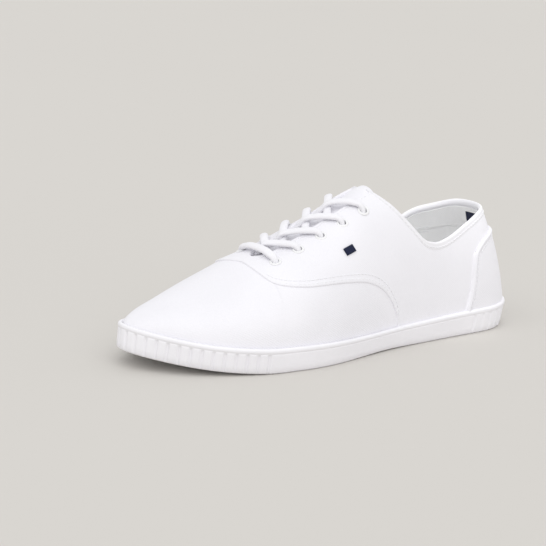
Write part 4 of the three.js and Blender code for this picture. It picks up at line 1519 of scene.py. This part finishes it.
@dataclass
class Tongue:
    """Canvas tongue under the lacing, round at its free end."""

    thickness: float = 2.4
    half: float = 22.0
    narrow: float = 0.8
    toe: float = 66.0
    free_end: float = -29.0
    gap: float = 0.25
    gap_end: float = 0.5
    crown: float = 2.3
    crown_from: float = -13.0
    roll: float = 0.9

    def face(self, out: Array, shares: Array, places: Array) -> Array:
        """Lays out one of the tongue's faces.

        Args:
            out: distance out from the tongue's upper face.
            shares: shares of the half width.
            places: millimetres ahead of the origin.

        Returns:
            Points in millimetres.
        """
        gone = (self.toe - places) / (self.toe - self.free_end)
        round_end = blunt(places - self.free_end + 1.0, 9.0, 3.0)
        half = self.half * mix(self.narrow, 1.0, gone) * round_end
        gap = mix(self.gap, self.gap_end, gone)
        across = shares * half
        crown = self.crown * ease((self.crown_from - places) / 12.0) * (1 - shares**2) ** 2
        return LAST.across(LAST.along(places), across, Cloth.INSIDE.value - gap + out + crown)

    def build(self) -> bpy.types.Object:
        """Makes the tongue as a closed skin with turned side edges.

        Returns:
            The piece.
        """
        shares = signed_power(np.linspace(-1.0, 1.0, 61), 0.8)[:, None]
        places = np.concatenate([np.linspace(self.toe, -20.0, 80), np.linspace(-20.9, self.free_end, 16)])
        edge = rolled((1 - np.abs(shares)) * self.half, self.roll, 0.12)
        end = rolled(places - self.free_end, self.roll, 0.12)[None]
        turned = self.roll * np.minimum(edge, end)
        outer = self.face(turned - self.roll, shares, places)
        inner = self.face(self.roll - self.thickness - turned, shares, places)
        return Surface("tongue_canvas").shell(outer, inner).build(CANVAS.material(), "tongue")


@dataclass
class Lining:
    """Soft white cloth inside the heel and sides, under the collar's tape."""

    below: float = 2.3
    outer: float = -1.61
    inner: float = -1.86
    front: float = -31.0
    foot_turn: float = 0.02
    seam_down: float = 8.5
    seam_slope: float = 5.5
    fold: float = 0.45

    def seam(self, x: Array) -> Array:
        """Distance below the collar's edge of the folded seam between the lining's two parts."""
        return self.seam_down + self.seam_slope * ease((-58.0 - x) / 54.0)

    def rows(self) -> list[Array]:
        """Lays two rows of stitches along the seam, on both sides of the heel.

        Returns:
            Points of each row, in millimetres.
        """
        x = np.linspace(-112.0, -44.0, 80)
        along, seam = LAST.along(x), self.seam(x)
        above, below = self.inner - self.fold - 0.08, self.inner - 0.08
        return [
            LAST.from_edge(along, side, -seam + up, out)
            for side in (LATERAL, MEDIAL)
            for up, out in ((1.2, above), (-1.8, below))
        ]

    def build(self) -> bpy.types.Object:
        """Makes the lining as a thin closed skin.

        Returns:
            The piece.
        """
        x, side = round_heel(np.append(rear_places(22, self.front, 1.5), self.front))
        along = LAST.along(x)
        top = LAST.edge(along, side) - self.below / LAST.edge_rate(along, side)
        turn = mix(self.foot_turn, top, np.linspace(0.0, 1.0, 110)[:, None])
        far, up, _ = LAST.unrolled(along, side, turn)
        thin = ease((self.front - x) / 5.0)
        down = (top - turn) * LAST.edge_rate(along, side) + self.below
        upper = 1 - ease((down - self.seam(x)) / 0.8)
        face = mix(self.outer, self.inner - self.fold * upper, thin)
        faces = [LAST.cloth(along, side, turn, out) for out in (face, self.outer + 0.0 * face)]
        coords = np.stack([side * far, up], axis=-1)
        return Surface("heel_lining").shell(*faces, coords).build(BRIGHTENED_LINING.material(), "upper")


@dataclass
class Insole:
    """Cotton-covered insole with a rounded edge and a shallow heel cup."""

    inset: float = 4.6
    thickness: float = 4.0
    roundness: float = 1.2
    cup: float = 0.7

    def build(self) -> bpy.types.Object:
        """Makes the insole as a closed pad.

        Returns:
            The piece.
        """
        along = LAST.along(np.concatenate([rear_places(30, 57.0, 1.5), toe_places(40, 57.0)]))
        share = np.sin(np.linspace(-1.0, 1.0, 33) * CREST)[:, None]
        x, middle, half = LAST.outline(along, self.inset)
        edge = np.minimum((1 - np.abs(share)) * half, np.minimum(along, 1 - along) * LAST.length)
        level = LAST.floor(along) + LAST.gap
        rim = rolled(np.maximum(edge, 0.0), self.roundness, 0.0)
        cup = self.cup * (1 - np.abs(share) ** 2) * ease((0.28 - along) / 0.2)
        top = LAST.bend(x, middle + share * half, level + self.thickness * (0.55 + 0.45 * rim) - cup)
        base = LAST.bend(x, middle + share * half, level + 0.0 * rim)
        return Surface("sock_lining").shell(top, base).build(BRIGHTENED_LINING.material(), "insole")


@dataclass
class Lacing:
    """Flat cotton lace: a bar over the first row, then legs that cross and go into the eyelets."""

    rows: int = 5
    first: float = 45.7
    pitch: float = 15.0
    spread: float = 16.4
    width: float = 4.9
    thickness: float = 2.9
    over_edge: float = 2.4
    over_eyelet: float = 3.3
    over_tongue: float = -0.9
    low: float = 0.4
    lead: float = 2.2
    first_lead: float = -2.8
    hidden: float = 2.6
    flange: float = 3.5
    bore: float = 2.0
    barrel: float = 2.45

    def eyelet(self, row: int, side: int) -> tuple[float, float]:
        """Share of the length and signed distance from the crown line of an eyelet."""
        return float(LAST.along(self.first - row * self.pitch)), side * self.spread

    def seat(self, row: int, side: int) -> tuple[Array, Array]:
        """Centre of an eyelet on the quarter's face and the direction out of it."""
        along, across = self.eyelet(row, side)
        return LAST.across(along, across, Cloth.QUARTER.value), self.outward(along, across)

    @staticmethod
    def outward(along: float, across: float) -> Array:
        """Gives the direction straight out of the quarter.

        Args:
            along: share of the length.
            across: distance from the crown line, outer side positive.

        Returns:
            The direction, of length 1.
        """
        step = 1.0 / LAST.length
        ahead = LAST.across(along + step, across, 0.6) - LAST.across(along - step, across, 0.6)
        left = LAST.across(along, across + 1.0, 0.6) - LAST.across(along, across - 1.0, 0.6)
        normal = np.cross(ahead, left)
        return normal / np.linalg.norm(normal)

    def cord(self, name: str, route: list[tuple[float, ...]]) -> bpy.types.Object:
        """Makes one run of lace.

        Args:
            name: the piece's name.
            route: along, across, out, width share and thickness share at each chosen point.

        Returns:
            The run as a mesh piece.
        """
        gone = list(range(len(route)))
        at = np.linspace(0.0, gone[-1], 16 * len(route))
        along, across, out, wide, thick = (Track(gone, [row[k] for row in route])(at) for k in range(5))
        middle = LAST.across(along, across, out)
        ahead = np.gradient(middle, axis=0)
        ahead /= np.linalg.norm(ahead, axis=1, keepdims=True)
        normal = self.outward(float(along[len(at) // 2]), 0.0)
        aside = np.cross(middle[-1] - middle[0], normal)
        aside = np.broadcast_to(aside / np.linalg.norm(aside), ahead.shape)
        above = np.cross(aside, ahead)
        above /= np.linalg.norm(above, axis=1, keepdims=True)
        turn = np.linspace(0.0, 2 * math.pi, 25)[:-1]
        flat = signed_power(np.cos(turn), 0.8) * self.width / 2
        tall = signed_power(np.sin(turn), 0.9) * self.thickness / 2
        flat = flat[None, :, None] * wide[:, None, None]
        tall = tall[None, :, None] * thick[:, None, None]
        ring = middle[:, None] + aside[:, None] * flat + above[:, None] * tall
        surface = Surface(name).grid(ring, closed=True).cap(ring[0]).cap(ring[-1])
        return surface.build(CORD.material(), "lace", crisp=75.0)

    def dive(self, begin: float, end: float, start: float, across: float) -> list[tuple[float, ...]]:
        """Gives the last points of a run: over the flange in a round bend and down the bore.

        Args:
            begin: share of the length where the run starts.
            end: share of the length of the eyelet.
            start: distance from the crown line where the run starts.
            across: distance from the crown line of the eyelet.

        Returns:
            Along, across, out, width share and thickness share at each point.
        """
        side = math.copysign(1.0, across)
        bend = [
            (-4.6, -0.35, 1.0, 1.0), (-2.4, -0.5, 0.94, 1.0), (-0.9, -1.3, 0.84, 1.0),
            (-0.1, -2.8, 0.76, 0.95), (0.2, -4.9, 0.74, 0.9), (0.2, -6.7, 0.74, 0.5),
        ]
        points = []
        for beyond, lower, wide, thick in bend:
            place = across + side * beyond
            share = min((place - start) / (across - start), 1.0)
            points.append((mix(begin, end, share), place, self.over_eyelet + lower, wide, thick))
        return points

    def leg(self, row: int, side: int, height: float) -> list[tuple[float, ...]]:
        """Leads one leg from under the quarter's edge at a row to the next row's far eyelet.

        Args:
            row: the row where it starts.
            side: the side where it starts, LATERAL or MEDIAL.
            height: how far out it crosses the crown line.

        Returns:
            Along, across, out, width share and thickness share at each point.
        """
        begin, _ = self.eyelet(row, side)
        begin += (self.first_lead if row == 0 else self.lead) / LAST.length
        end, across = self.eyelet(row + 1, -side)
        edge = float(LAST.throat_open(np.array(begin)))
        start = side * (edge - self.hidden)

        def at(place: float, out: float, thick: float = 1.0) -> tuple[float, ...]:
            """Point of the leg at a distance from the crown line."""
            share = (place - start) / (across - start)
            return (mix(begin, end, min(max(share, -0.2), 1.0)), place, out, 1.0, thick)

        return [
            at(side * (edge + 1.2), -1.95, 0.3),
            at(side * (edge - 0.8), self.over_tongue - 0.5, 0.6),
            at(start, self.over_tongue + 0.1, 0.9),
            at(start * 0.5, mix(self.over_tongue, height, 0.5)),
            at(0.0, height),
            at(-side * (edge - self.hidden), max(self.over_edge, height)),
            at(-side * (edge + self.hidden * 0.6), self.over_eyelet - 0.15),
            *self.dive(begin, end, start, across),
        ]

    def build(self) -> list[bpy.types.Object]:
        """Makes every run of lace.

        Returns:
            The bar, then both legs of each crossing.
        """
        along, across = self.eyelet(0, LATERAL)
        bar = [(along, share * across, self.over_eyelet + 0.2, 1.0, 1.0) for share in (-0.45, 0.0, 0.45)]
        ends = [self.dive(along, along, 0.0, place) for place in (-across, across)]
        across_it = ends[0][::-1] + bar + ends[1]
        runs = [self.cord("lace_bar_run", across_it)]
        for row in range(self.rows - 1):
            for side, height in ((LATERAL, self.low), (MEDIAL, self.low + self.thickness + 0.1)):
                word = "outer" if side == LATERAL else "inner"
                runs.append(self.cord(f"lace_leg_{word}_{row + 1}", self.leg(row, side, height)))
        return runs

    def seats(self) -> bpy.types.Mesh:
        """Marks the eyelets' centres.

        Returns:
            Points, each with its direction out of the cloth as the attribute axis.
        """
        seats = [self.seat(row, side) for side in (LATERAL, MEDIAL) for row in range(self.rows)]
        mesh = bpy.data.meshes.new("eyelet_seats")
        mesh.from_pydata([tuple(point * MM) for point, _ in seats], [], [])
        axis = mesh.attributes.new("axis", "FLOAT_VECTOR", "POINT")
        axis.data.foreach_set("vector", np.concatenate([normal for _, normal in seats]))
        return mesh

    def template(self) -> bpy.types.Object:
        """Makes one flanged eyelet, its bore along Z, for the nodes to repeat.

        Returns:
            The eyelet as a loose object.
        """
        turn = np.linspace(0.0, 2 * math.pi, 33)[:-1]
        flange = [
            (self.bore, -2.2), (self.bore, 0.15), (self.bore + 0.08, 0.42), (self.bore + 0.32, 0.62),
            (self.bore + 0.75, 0.7), (self.flange - 0.45, 0.52), (self.flange - 0.1, 0.28),
            (self.flange, 0.1), (self.flange - 0.08, 0.02), (self.barrel, 0.02), (self.barrel, -2.2),
            (self.bore, -2.2),
        ]
        ring = np.stack([
            np.stack([r * np.cos(turn), r * np.sin(turn), np.full(len(turn), h)], axis=1) for r, h in flange
        ])
        return Surface("eyelet_form").grid(ring, closed=True).helper()

    def punches(self, radius: float) -> bpy.types.Object:
        """Makes the cylinders that cut the eyelet holes.

        Args:
            radius: the holes' radius, in millimetres.

        Returns:
            The cylinders as one loose object.
        """
        surface = Surface("eyelet_punches")
        turn = np.linspace(0.0, 2 * math.pi, 29)[:-1]
        for side in (LATERAL, MEDIAL):
            for row in range(self.rows):
                centre, normal = self.seat(row, side)
                aside = np.cross(normal, [1.0, 0.0, 0.0])
                aside /= np.linalg.norm(aside)
                ahead = np.cross(aside, normal)
                round_it = radius * (np.cos(turn)[:, None] * aside + np.sin(turn)[:, None] * ahead)
                ring = np.stack([centre + normal * level + round_it for level in (-4.0, 4.0)])
                surface.grid(ring, closed=True).cap(ring[0]).cap(ring[1])
        return surface.helper()


def set_copies(
    wire: Wiring, start: bpy.types.Node, end: bpy.types.Node,
    points: bpy.types.NodeSocket, form: bpy.types.NodeSocket, axis: bpy.types.NodeSocket,
) -> None:
    """Ends a tree: copies of a form on points, made real and given the finish.

    Args:
        wire: the tree's wiring.
        start: its input node.
        end: its output node.
        points: where the copies stand.
        form: what is copied.
        axis: direction that the form's Z axis takes at each point.
    """
    turned = wire.add("FunctionNodeAlignRotationToVector", {"Vector": axis}, axis="Z")
    values = {"Points": points, "Instance": form, "Rotation": turned.outputs["Rotation"]}
    copies = wire.add("GeometryNodeInstanceOnPoints", values)
    real = wire.add("GeometryNodeRealizeInstances", {"Geometry": copies.outputs["Instances"]})
    values = {"Geometry": real.outputs["Geometry"], "Material": start.outputs["Finish"]}
    finish = wire.add("GeometryNodeSetMaterial", values)
    wire.put(end.inputs["Geometry"], finish.outputs["Geometry"])


def eyelet_tree() -> tuple[bpy.types.NodeTree, dict[str, str]]:
    """Makes the nodes that set one form on every point, its Z axis along the point's own axis.

    Returns:
        The tree and the identifiers of its inputs.
    """
    wire, start, end, names = new_tree(
        "GeometryNodeTree", "set_on_points",
        {"Geometry": (GEOMETRY, 0.0), "Form": ("NodeSocketObject", 0.0),
         "Finish": ("NodeSocketMaterial", 0.0)},
        {"Geometry": GEOMETRY},
    )
    form = wire.add("GeometryNodeObjectInfo", {"Object": start.outputs["Form"]})
    named = wire.add("GeometryNodeInputNamedAttribute", {"Name": "axis"}, data_type="FLOAT_VECTOR")
    points, axis = start.outputs["Geometry"], named.outputs["Attribute"]
    set_copies(wire, start, end, points, form.outputs["Geometry"], axis)
    return wire.tree, names


def stitch_tree() -> tuple[bpy.types.NodeTree, dict[str, str]]:
    """Makes the nodes that lay a row of short round stitches along every edge path of a mesh.

    Returns:
        The tree and the identifiers of its inputs.
    """
    wire, start, end, names = new_tree(
        "GeometryNodeTree", "stitch_row",
        {"Geometry": (GEOMETRY, 0.0), "Pitch": ("NodeSocketFloat", 0.0028),
         "Stitch": ("NodeSocketFloat", 0.0021), "Thread": ("NodeSocketFloat", 0.00055),
         "Finish": ("NodeSocketMaterial", 0.0)},
        {"Geometry": GEOMETRY},
    )
    path = wire.add("GeometryNodeMeshToCurve", {"Mesh": start.outputs["Geometry"]})
    even = wire.add("GeometryNodeResampleCurve", {"Curve": path.outputs["Curve"]}, mode="LENGTH")
    wire.put(even.inputs["Length"], start.outputs["Pitch"])
    ball = wire.add("GeometryNodeMeshIcoSphere", {"Radius": 0.5, "Subdivisions": 2})
    size = wire.add("ShaderNodeCombineXYZ", {
        "X": start.outputs["Thread"], "Y": start.outputs["Thread"], "Z": start.outputs["Stitch"],
    })
    values = {"Geometry": ball.outputs["Mesh"], "Scale": size.outputs[0]}
    shaped = wire.add("GeometryNodeTransform", values)
    smooth = wire.add("GeometryNodeSetShadeSmooth", {"Geometry": shaped.outputs["Geometry"]})
    tangent = wire.add("GeometryNodeInputTangent")
    set_copies(wire, start, end, even.outputs["Curve"], smooth.outputs["Geometry"], tangent.outputs[0])
    return wire.tree, names


def repeated(
    name: str, base: bpy.types.Mesh, tree: tuple, values: dict, finish: bpy.types.Material, slot: str
) -> bpy.types.Object:
    """Runs a node tree on a mesh and keeps the result as a plain piece.

    Args:
        name: the piece's name.
        base: the mesh that the tree starts from.
        tree: the tree and the identifiers of its inputs.
        values: a value for each named input.
        finish: the piece's material.
        slot: the record's material slot.

    Returns:
        The finished piece.
    """
    nodes, names = tree
    maker = loose(f"{name}_maker", base)
    made = maker.modifiers.new("nodes", "NODES")
    made.node_group = nodes
    for label, value in {**values, "Finish": finish}.items():
        made[names[label]] = value
    mesh = baked(maker)
    bpy.data.objects.remove(maker)
    return place(name, mesh, finish, slot)


def paths(lines: list[Array]) -> bpy.types.Mesh:
    """Makes a mesh of loose edge paths.

    Args:
        lines: each path's points, in millimetres.

    Returns:
        The paths' mesh, in metres.
    """
    mesh = bpy.data.meshes.new("stitch_paths")
    edges, base = [], 0
    for line in lines:
        edges += [(base + k, base + k + 1) for k in range(len(line) - 1)]
        base += len(line)
    mesh.from_pydata((np.concatenate(lines) * MM).tolist(), edges, [])
    return mesh


@dataclass
class Tabs:
    """Plain woven tapes: a small tab on the outer quarter and a loop of tape inside the heel."""

    length: float = 7.2
    height: float = 4.6
    thickness: float = 0.6
    ahead: float = 4.4
    up: float = 60.0
    tape_width: float = 14.0
    tape_length: float = 24.0
    tape_down: float = 4.3

    def frame(self, lacing: Lacing) -> tuple[Array, Array, Array, Array]:
        """Places the side tab in line with the eyelets.

        Args:
            lacing: the eyelets' places.

        Returns:
            The tab's middle, and the directions along, up and out.
        """
        turn = LAST.turn_at(self.ahead, self.up)

        def on(dx: float, dz: float) -> Array:
            """Point on the quarter near the tab's middle."""
            x = self.ahead + dx
            return LAST.cloth(LAST.along(x), LATERAL, LAST.turn_at(x, self.up + dz), 0.9)

        point = LAST.cloth(LAST.along(self.ahead), LATERAL, turn, 0.9)
        out = np.cross(on(0, 1) - on(0, -1), on(1, 0) - on(-1, 0))
        out /= np.linalg.norm(out)
        row = lacing.seat(0, LATERAL)[0] - lacing.seat(lacing.rows - 1, LATERAL)[0]
        along = row - out * np.dot(row, out)
        along /= np.linalg.norm(along)
        return point, along, np.cross(out, along), out

    def side_tab(self, lacing: Lacing) -> bpy.types.Object:
        """Makes the side tab with soft edges.

        Args:
            lacing: the eyelets' places.

        Returns:
            The piece.
        """
        point, along, up, out = self.frame(lacing)
        share = np.sin(np.linspace(-1.0, 1.0, 25) * CREST)
        u, v = np.meshgrid(share * self.length / 2, share * self.height / 2)
        edge = np.minimum(self.length / 2 - np.abs(u), self.height / 2 - np.abs(v))
        rise = self.thickness * rolled(edge, 0.35, 0.0)
        base = point + u[..., None] * along + v[..., None] * up
        surface = Surface("side_tab_tape").shell(base + rise[..., None] * out, base)
        return surface.build(NAVY_TAPE.material(), "side_tab")

    def tab_stitches(self, lacing: Lacing) -> Array:
        """Gives the corners of the row of stitches inside the side tab's edge.

        Args:
            lacing: the eyelets' places.

        Returns:
            Points in millimetres.
        """
        point, along, up, out = self.frame(lacing)
        a, b = self.length / 2 - 0.8, self.height / 2 - 0.8
        corners = [(-a, -b), (a, -b), (a, b), (-a, b), (-a, -b)]
        return np.array([point + u * along + v * up + out * (self.thickness + 0.02) for u, v in corners])

    def heel_tape(self) -> bpy.types.Object:
        """Makes the tape on the lining at the back of the heel.

        Returns:
            The piece.
        """
        x = heel_places(60)
        _, _, half = LAST.outline(LAST.along(x), 4.6)
        x, side = round_heel(x[half <= self.tape_width / 2])
        along = LAST.along(x)
        start, end = -self.tape_down, -self.tape_down - self.tape_length
        down = np.linspace(start, end, 40)[:, None]
        edge = np.minimum(start - down, down - end) + 0.0 * along
        rise = 0.45 * rolled(edge, 0.4, 0.0)
        outer = LAST.from_edge(along, side, down, -1.9 - rise)
        inner = LAST.from_edge(along, side, down, -1.88 + 0.0 * rise)
        return Surface("heel_tape_loop").shell(outer, inner).build(NAVY_TAPE.material(), "heel_tape")


@dataclass
class Stitching:
    """Sewn rows of the shoe, each a set of paths that the stitch nodes run along."""

    lap_rows: tuple[float, float] = (1.7, 3.9)
    stay_rows: tuple[float, ...] = (2.6,)
    cap_row: float = 3.6

    def cloth_rows(self, quarter: Quarter) -> list[Array]:
        """Lays two rows along the lapped seam and one round the throat's edge, on both sides.

        Args:
            quarter: the rear panel.

        Returns:
            Points of each row, in millimetres.
        """
        rows = []
        for side in (LATERAL, MEDIAL):
            rows += [quarter.line(side, inward, -34.0, 57.0, False) for inward in self.lap_rows]
            rows += [quarter.line(side, inward, -24.0, 47.0, True) for inward in self.stay_rows]
        return rows

    def build(
        self, quarter: Quarter, binding: Binding, cap: HeelCap, tabs: Tabs, lacing: Lacing
    ) -> list[bpy.types.Object]:
        """Makes every sewn row.

        Args:
            quarter: the rear panel.
            binding: the collar's tape.
            cap: the heel cap.
            tabs: the side tab and heel tape.
            lacing: the eyelets' places, which the side tab follows.

        Returns:
            The stitch pieces.
        """
        tree = stitch_tree()
        thread, dark = THREAD.material(), NAVY_TAPE.material()
        usual = {"Pitch": 0.0026, "Stitch": 0.0021, "Thread": 0.0005}
        small = {"Pitch": 0.0013, "Stitch": 0.0011, "Thread": 0.0003}
        rows = [
            ("upper_stitches", self.cloth_rows(quarter), usual, thread, "upper"),
            ("lining_stitches", Lining().rows(), usual, thread, "upper"),
            ("cap_stitches", [cap.line(self.cap_row)], usual, thread, "heel_patch"),
            ("collar_stitches", [binding.line()], usual, thread, "collar_binding"),
            ("tab_stitches", [tabs.tab_stitches(lacing)], small, dark, "side_tab"),
        ]
        return [
            repeated(name, paths(lines), tree, sizes, finish, slot)
            for name, lines, sizes, finish, slot in rows
        ]


@dataclass
class Studio:
    """Camera at the picture's angle, pale floor, soft sky and two broad lights."""

    yaw: float = 37.871
    elevation: float = 13.787
    roll: float = 2.464
    distance: float = 1.07106
    target: Point = (0.0, 0.0, 0.03)
    lens: float = 122.17
    shift: tuple[float, float] = (-0.0868, 0.032)
    sky: float = 0.8
    opening_power: float = 6.5

    def camera(self) -> bpy.types.Object:
        """Makes the camera and sets it as the scene's.

        Returns:
            The camera.
        """
        yaw, rise, roll = (math.radians(value) for value in (self.yaw, self.elevation, self.roll))
        back = Vector((math.sin(yaw) * math.cos(rise), math.cos(yaw) * math.cos(rise), math.sin(rise)))
        level = Vector((0.0, 0.0, 1.0)).cross(back).normalized()
        upright = back.cross(level)
        right = level * math.cos(roll) + upright * math.sin(roll)
        up = upright * math.cos(roll) - level * math.sin(roll)
        data = bpy.data.cameras.new("camera")
        data.lens, data.sensor_width = self.lens, 36.0
        data.shift_x, data.shift_y = self.shift
        data.clip_start, data.clip_end = 0.05, 20.0
        camera = bpy.data.objects.new("camera", data)
        turn = Matrix((right, up, back)).transposed().to_4x4()
        camera.matrix_world = Matrix.Translation(Vector(self.target) + back * self.distance) @ turn
        bpy.context.scene.collection.objects.link(camera)
        bpy.context.scene.camera = camera
        return camera

    @staticmethod
    def hang(data: bpy.types.Light, at: Point, aim: Point) -> None:
        """Hangs a light at a place and turns it to what it lights.

        Args:
            data: the light.
            at: its place, in metres.
            aim: the place that it lights.
        """
        lamp = bpy.data.objects.new(data.name, data)
        lamp.location = at
        lamp.rotation_euler = (Vector(at) - Vector(aim)).to_track_quat("Z", "Y").to_euler()
        bpy.context.scene.collection.objects.link(lamp)

    def lamp(self, name: str, at: Point, spread: float, power: float) -> None:
        """Adds a broad far light, alike all over the floor.

        Args:
            name: the light's name.
            at: where it comes from, in metres.
            spread: how broad it looks, in degrees.
            power: its strength.
        """
        data = bpy.data.lights.new(name, "SUN")
        data.angle, data.energy = math.radians(spread), power
        self.hang(data, at, (0.0, 0.0, 0.04))

    def opening_light(self) -> None:
        """Hangs a narrow soft light over the shoe's opening, for its lining."""
        data = bpy.data.lights.new("opening_light", "SPOT")
        data.energy, data.shadow_soft_size = self.opening_power, 0.03
        data.spot_size, data.spot_blend = math.radians(8.0), 1.0
        self.hang(data, (-0.083, 0.05, 0.62), (-0.083, 0.0, 0.04))

    def floor(self) -> bpy.types.Object:
        """Lays the pale floor, which isn't part of the shoe.

        Returns:
            The floor.
        """
        mesh = bpy.data.meshes.new("floor")
        corners = [(-6.0, -6.0, 0.0), (6.0, -6.0, 0.0), (6.0, 6.0, 0.0), (-6.0, 6.0, 0.0)]
        mesh.from_pydata(corners, [], [(0, 1, 2, 3)])
        finish, wire, shader = started("pale_floor")
        at = wire.add("ShaderNodeTexCoord").outputs["Object"]
        soil = wire.add("ShaderNodeTexNoise", {"Vector": at, "Scale": 2.0}).outputs["Fac"]
        tone = wire.toned(soil, (0.652, 0.631, 0.598, 1.0), (0.644, 0.623, 0.591, 1.0))
        wire.fill(shader, {"Base Color": tone, "Roughness": 0.95, "Specular IOR Level": 0.1})
        mesh.materials.append(finish)
        floor = loose("floor", mesh)
        floor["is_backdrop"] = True
        return floor

    def build(self) -> None:
        """Sets up camera, floor, sky and lamps."""
        self.camera()
        self.floor()
        world = bpy.data.worlds.new("soft_sky")
        world.use_nodes = True
        back = world.node_tree.nodes["Background"]
        back.inputs[0].default_value = (1.0, 1.0, 1.0, 1.0)
        back.inputs[1].default_value = self.sky
        bpy.context.scene.world = world
        self.lamp("front_light", (0.85, 0.5, 1.7), 60.0, 0.6)
        self.lamp("side_light", (0.4, 1.5, 1.15), 50.0, 0.55)
        self.opening_light()


def stand_in(pieces: list[bpy.types.Object], *nodes: str) -> None:
    """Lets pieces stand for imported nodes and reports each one.

    Args:
        pieces: the pieces.
        nodes: the names of the nodes that they replace together.
    """
    for piece in pieces:
        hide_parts(*nodes)
        LOG.info("%s: %d faces, stands for %s", piece.name, len(piece.data.polygons), ", ".join(nodes))


def main() -> None:
    """Builds the shoe's pieces in order, then the studio."""
    logging.basicConfig(level=logging.INFO, format="%(name)s %(message)s")
    bpy.context.scene.view_settings.view_transform = "Standard"
    lacing, quarter, binding = Lacing(), Quarter(), Binding()
    cap, tabs, sole = HeelCap(), Tabs(), Sole()
    stand_in([quarter.build(lacing.punches(quarter.hole / 2)), Vamp().build(), Lining().build()], "upper")
    stand_in([sole.build(), sole.tread()], "sole")
    stand_in([cap.build()], "heel_patch")
    stand_in([binding.build()], "collar_binding")
    stand_in([Tongue().build()], "tongue")
    stand_in([Insole().build()], "insole")
    stand_in([tabs.side_tab(lacing)], "side_tab")
    stand_in([tabs.heel_tape()], "heel_tape")
    runs = lacing.build()
    stand_in(runs[:1], "lace_bar")
    for row in range(1, lacing.rows):
        stand_in(runs[2 * row - 1 : 2 * row + 1], f"lace_crossing_{row}")
    form = lacing.template()
    enamel = ENAMEL.material()
    eyelets = repeated("eyelets", lacing.seats(), eyelet_tree(), {"Form": form}, enamel, "eyelet")
    bpy.data.objects.remove(form)
    stand_in([eyelets], *[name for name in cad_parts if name.startswith("eyelet")])
    for piece in Stitching().build(quarter, binding, cap, tabs, lacing):
        LOG.info("%s: %d faces", piece.name, len(piece.data.polygons))
    Studio().build()
    boxes = {"cad": CAD_BOX, "visual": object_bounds()}
    {name: [list(map(float, end)) for end in box] for name, box in boxes.items()}


if __name__ == "__main__":
    main()
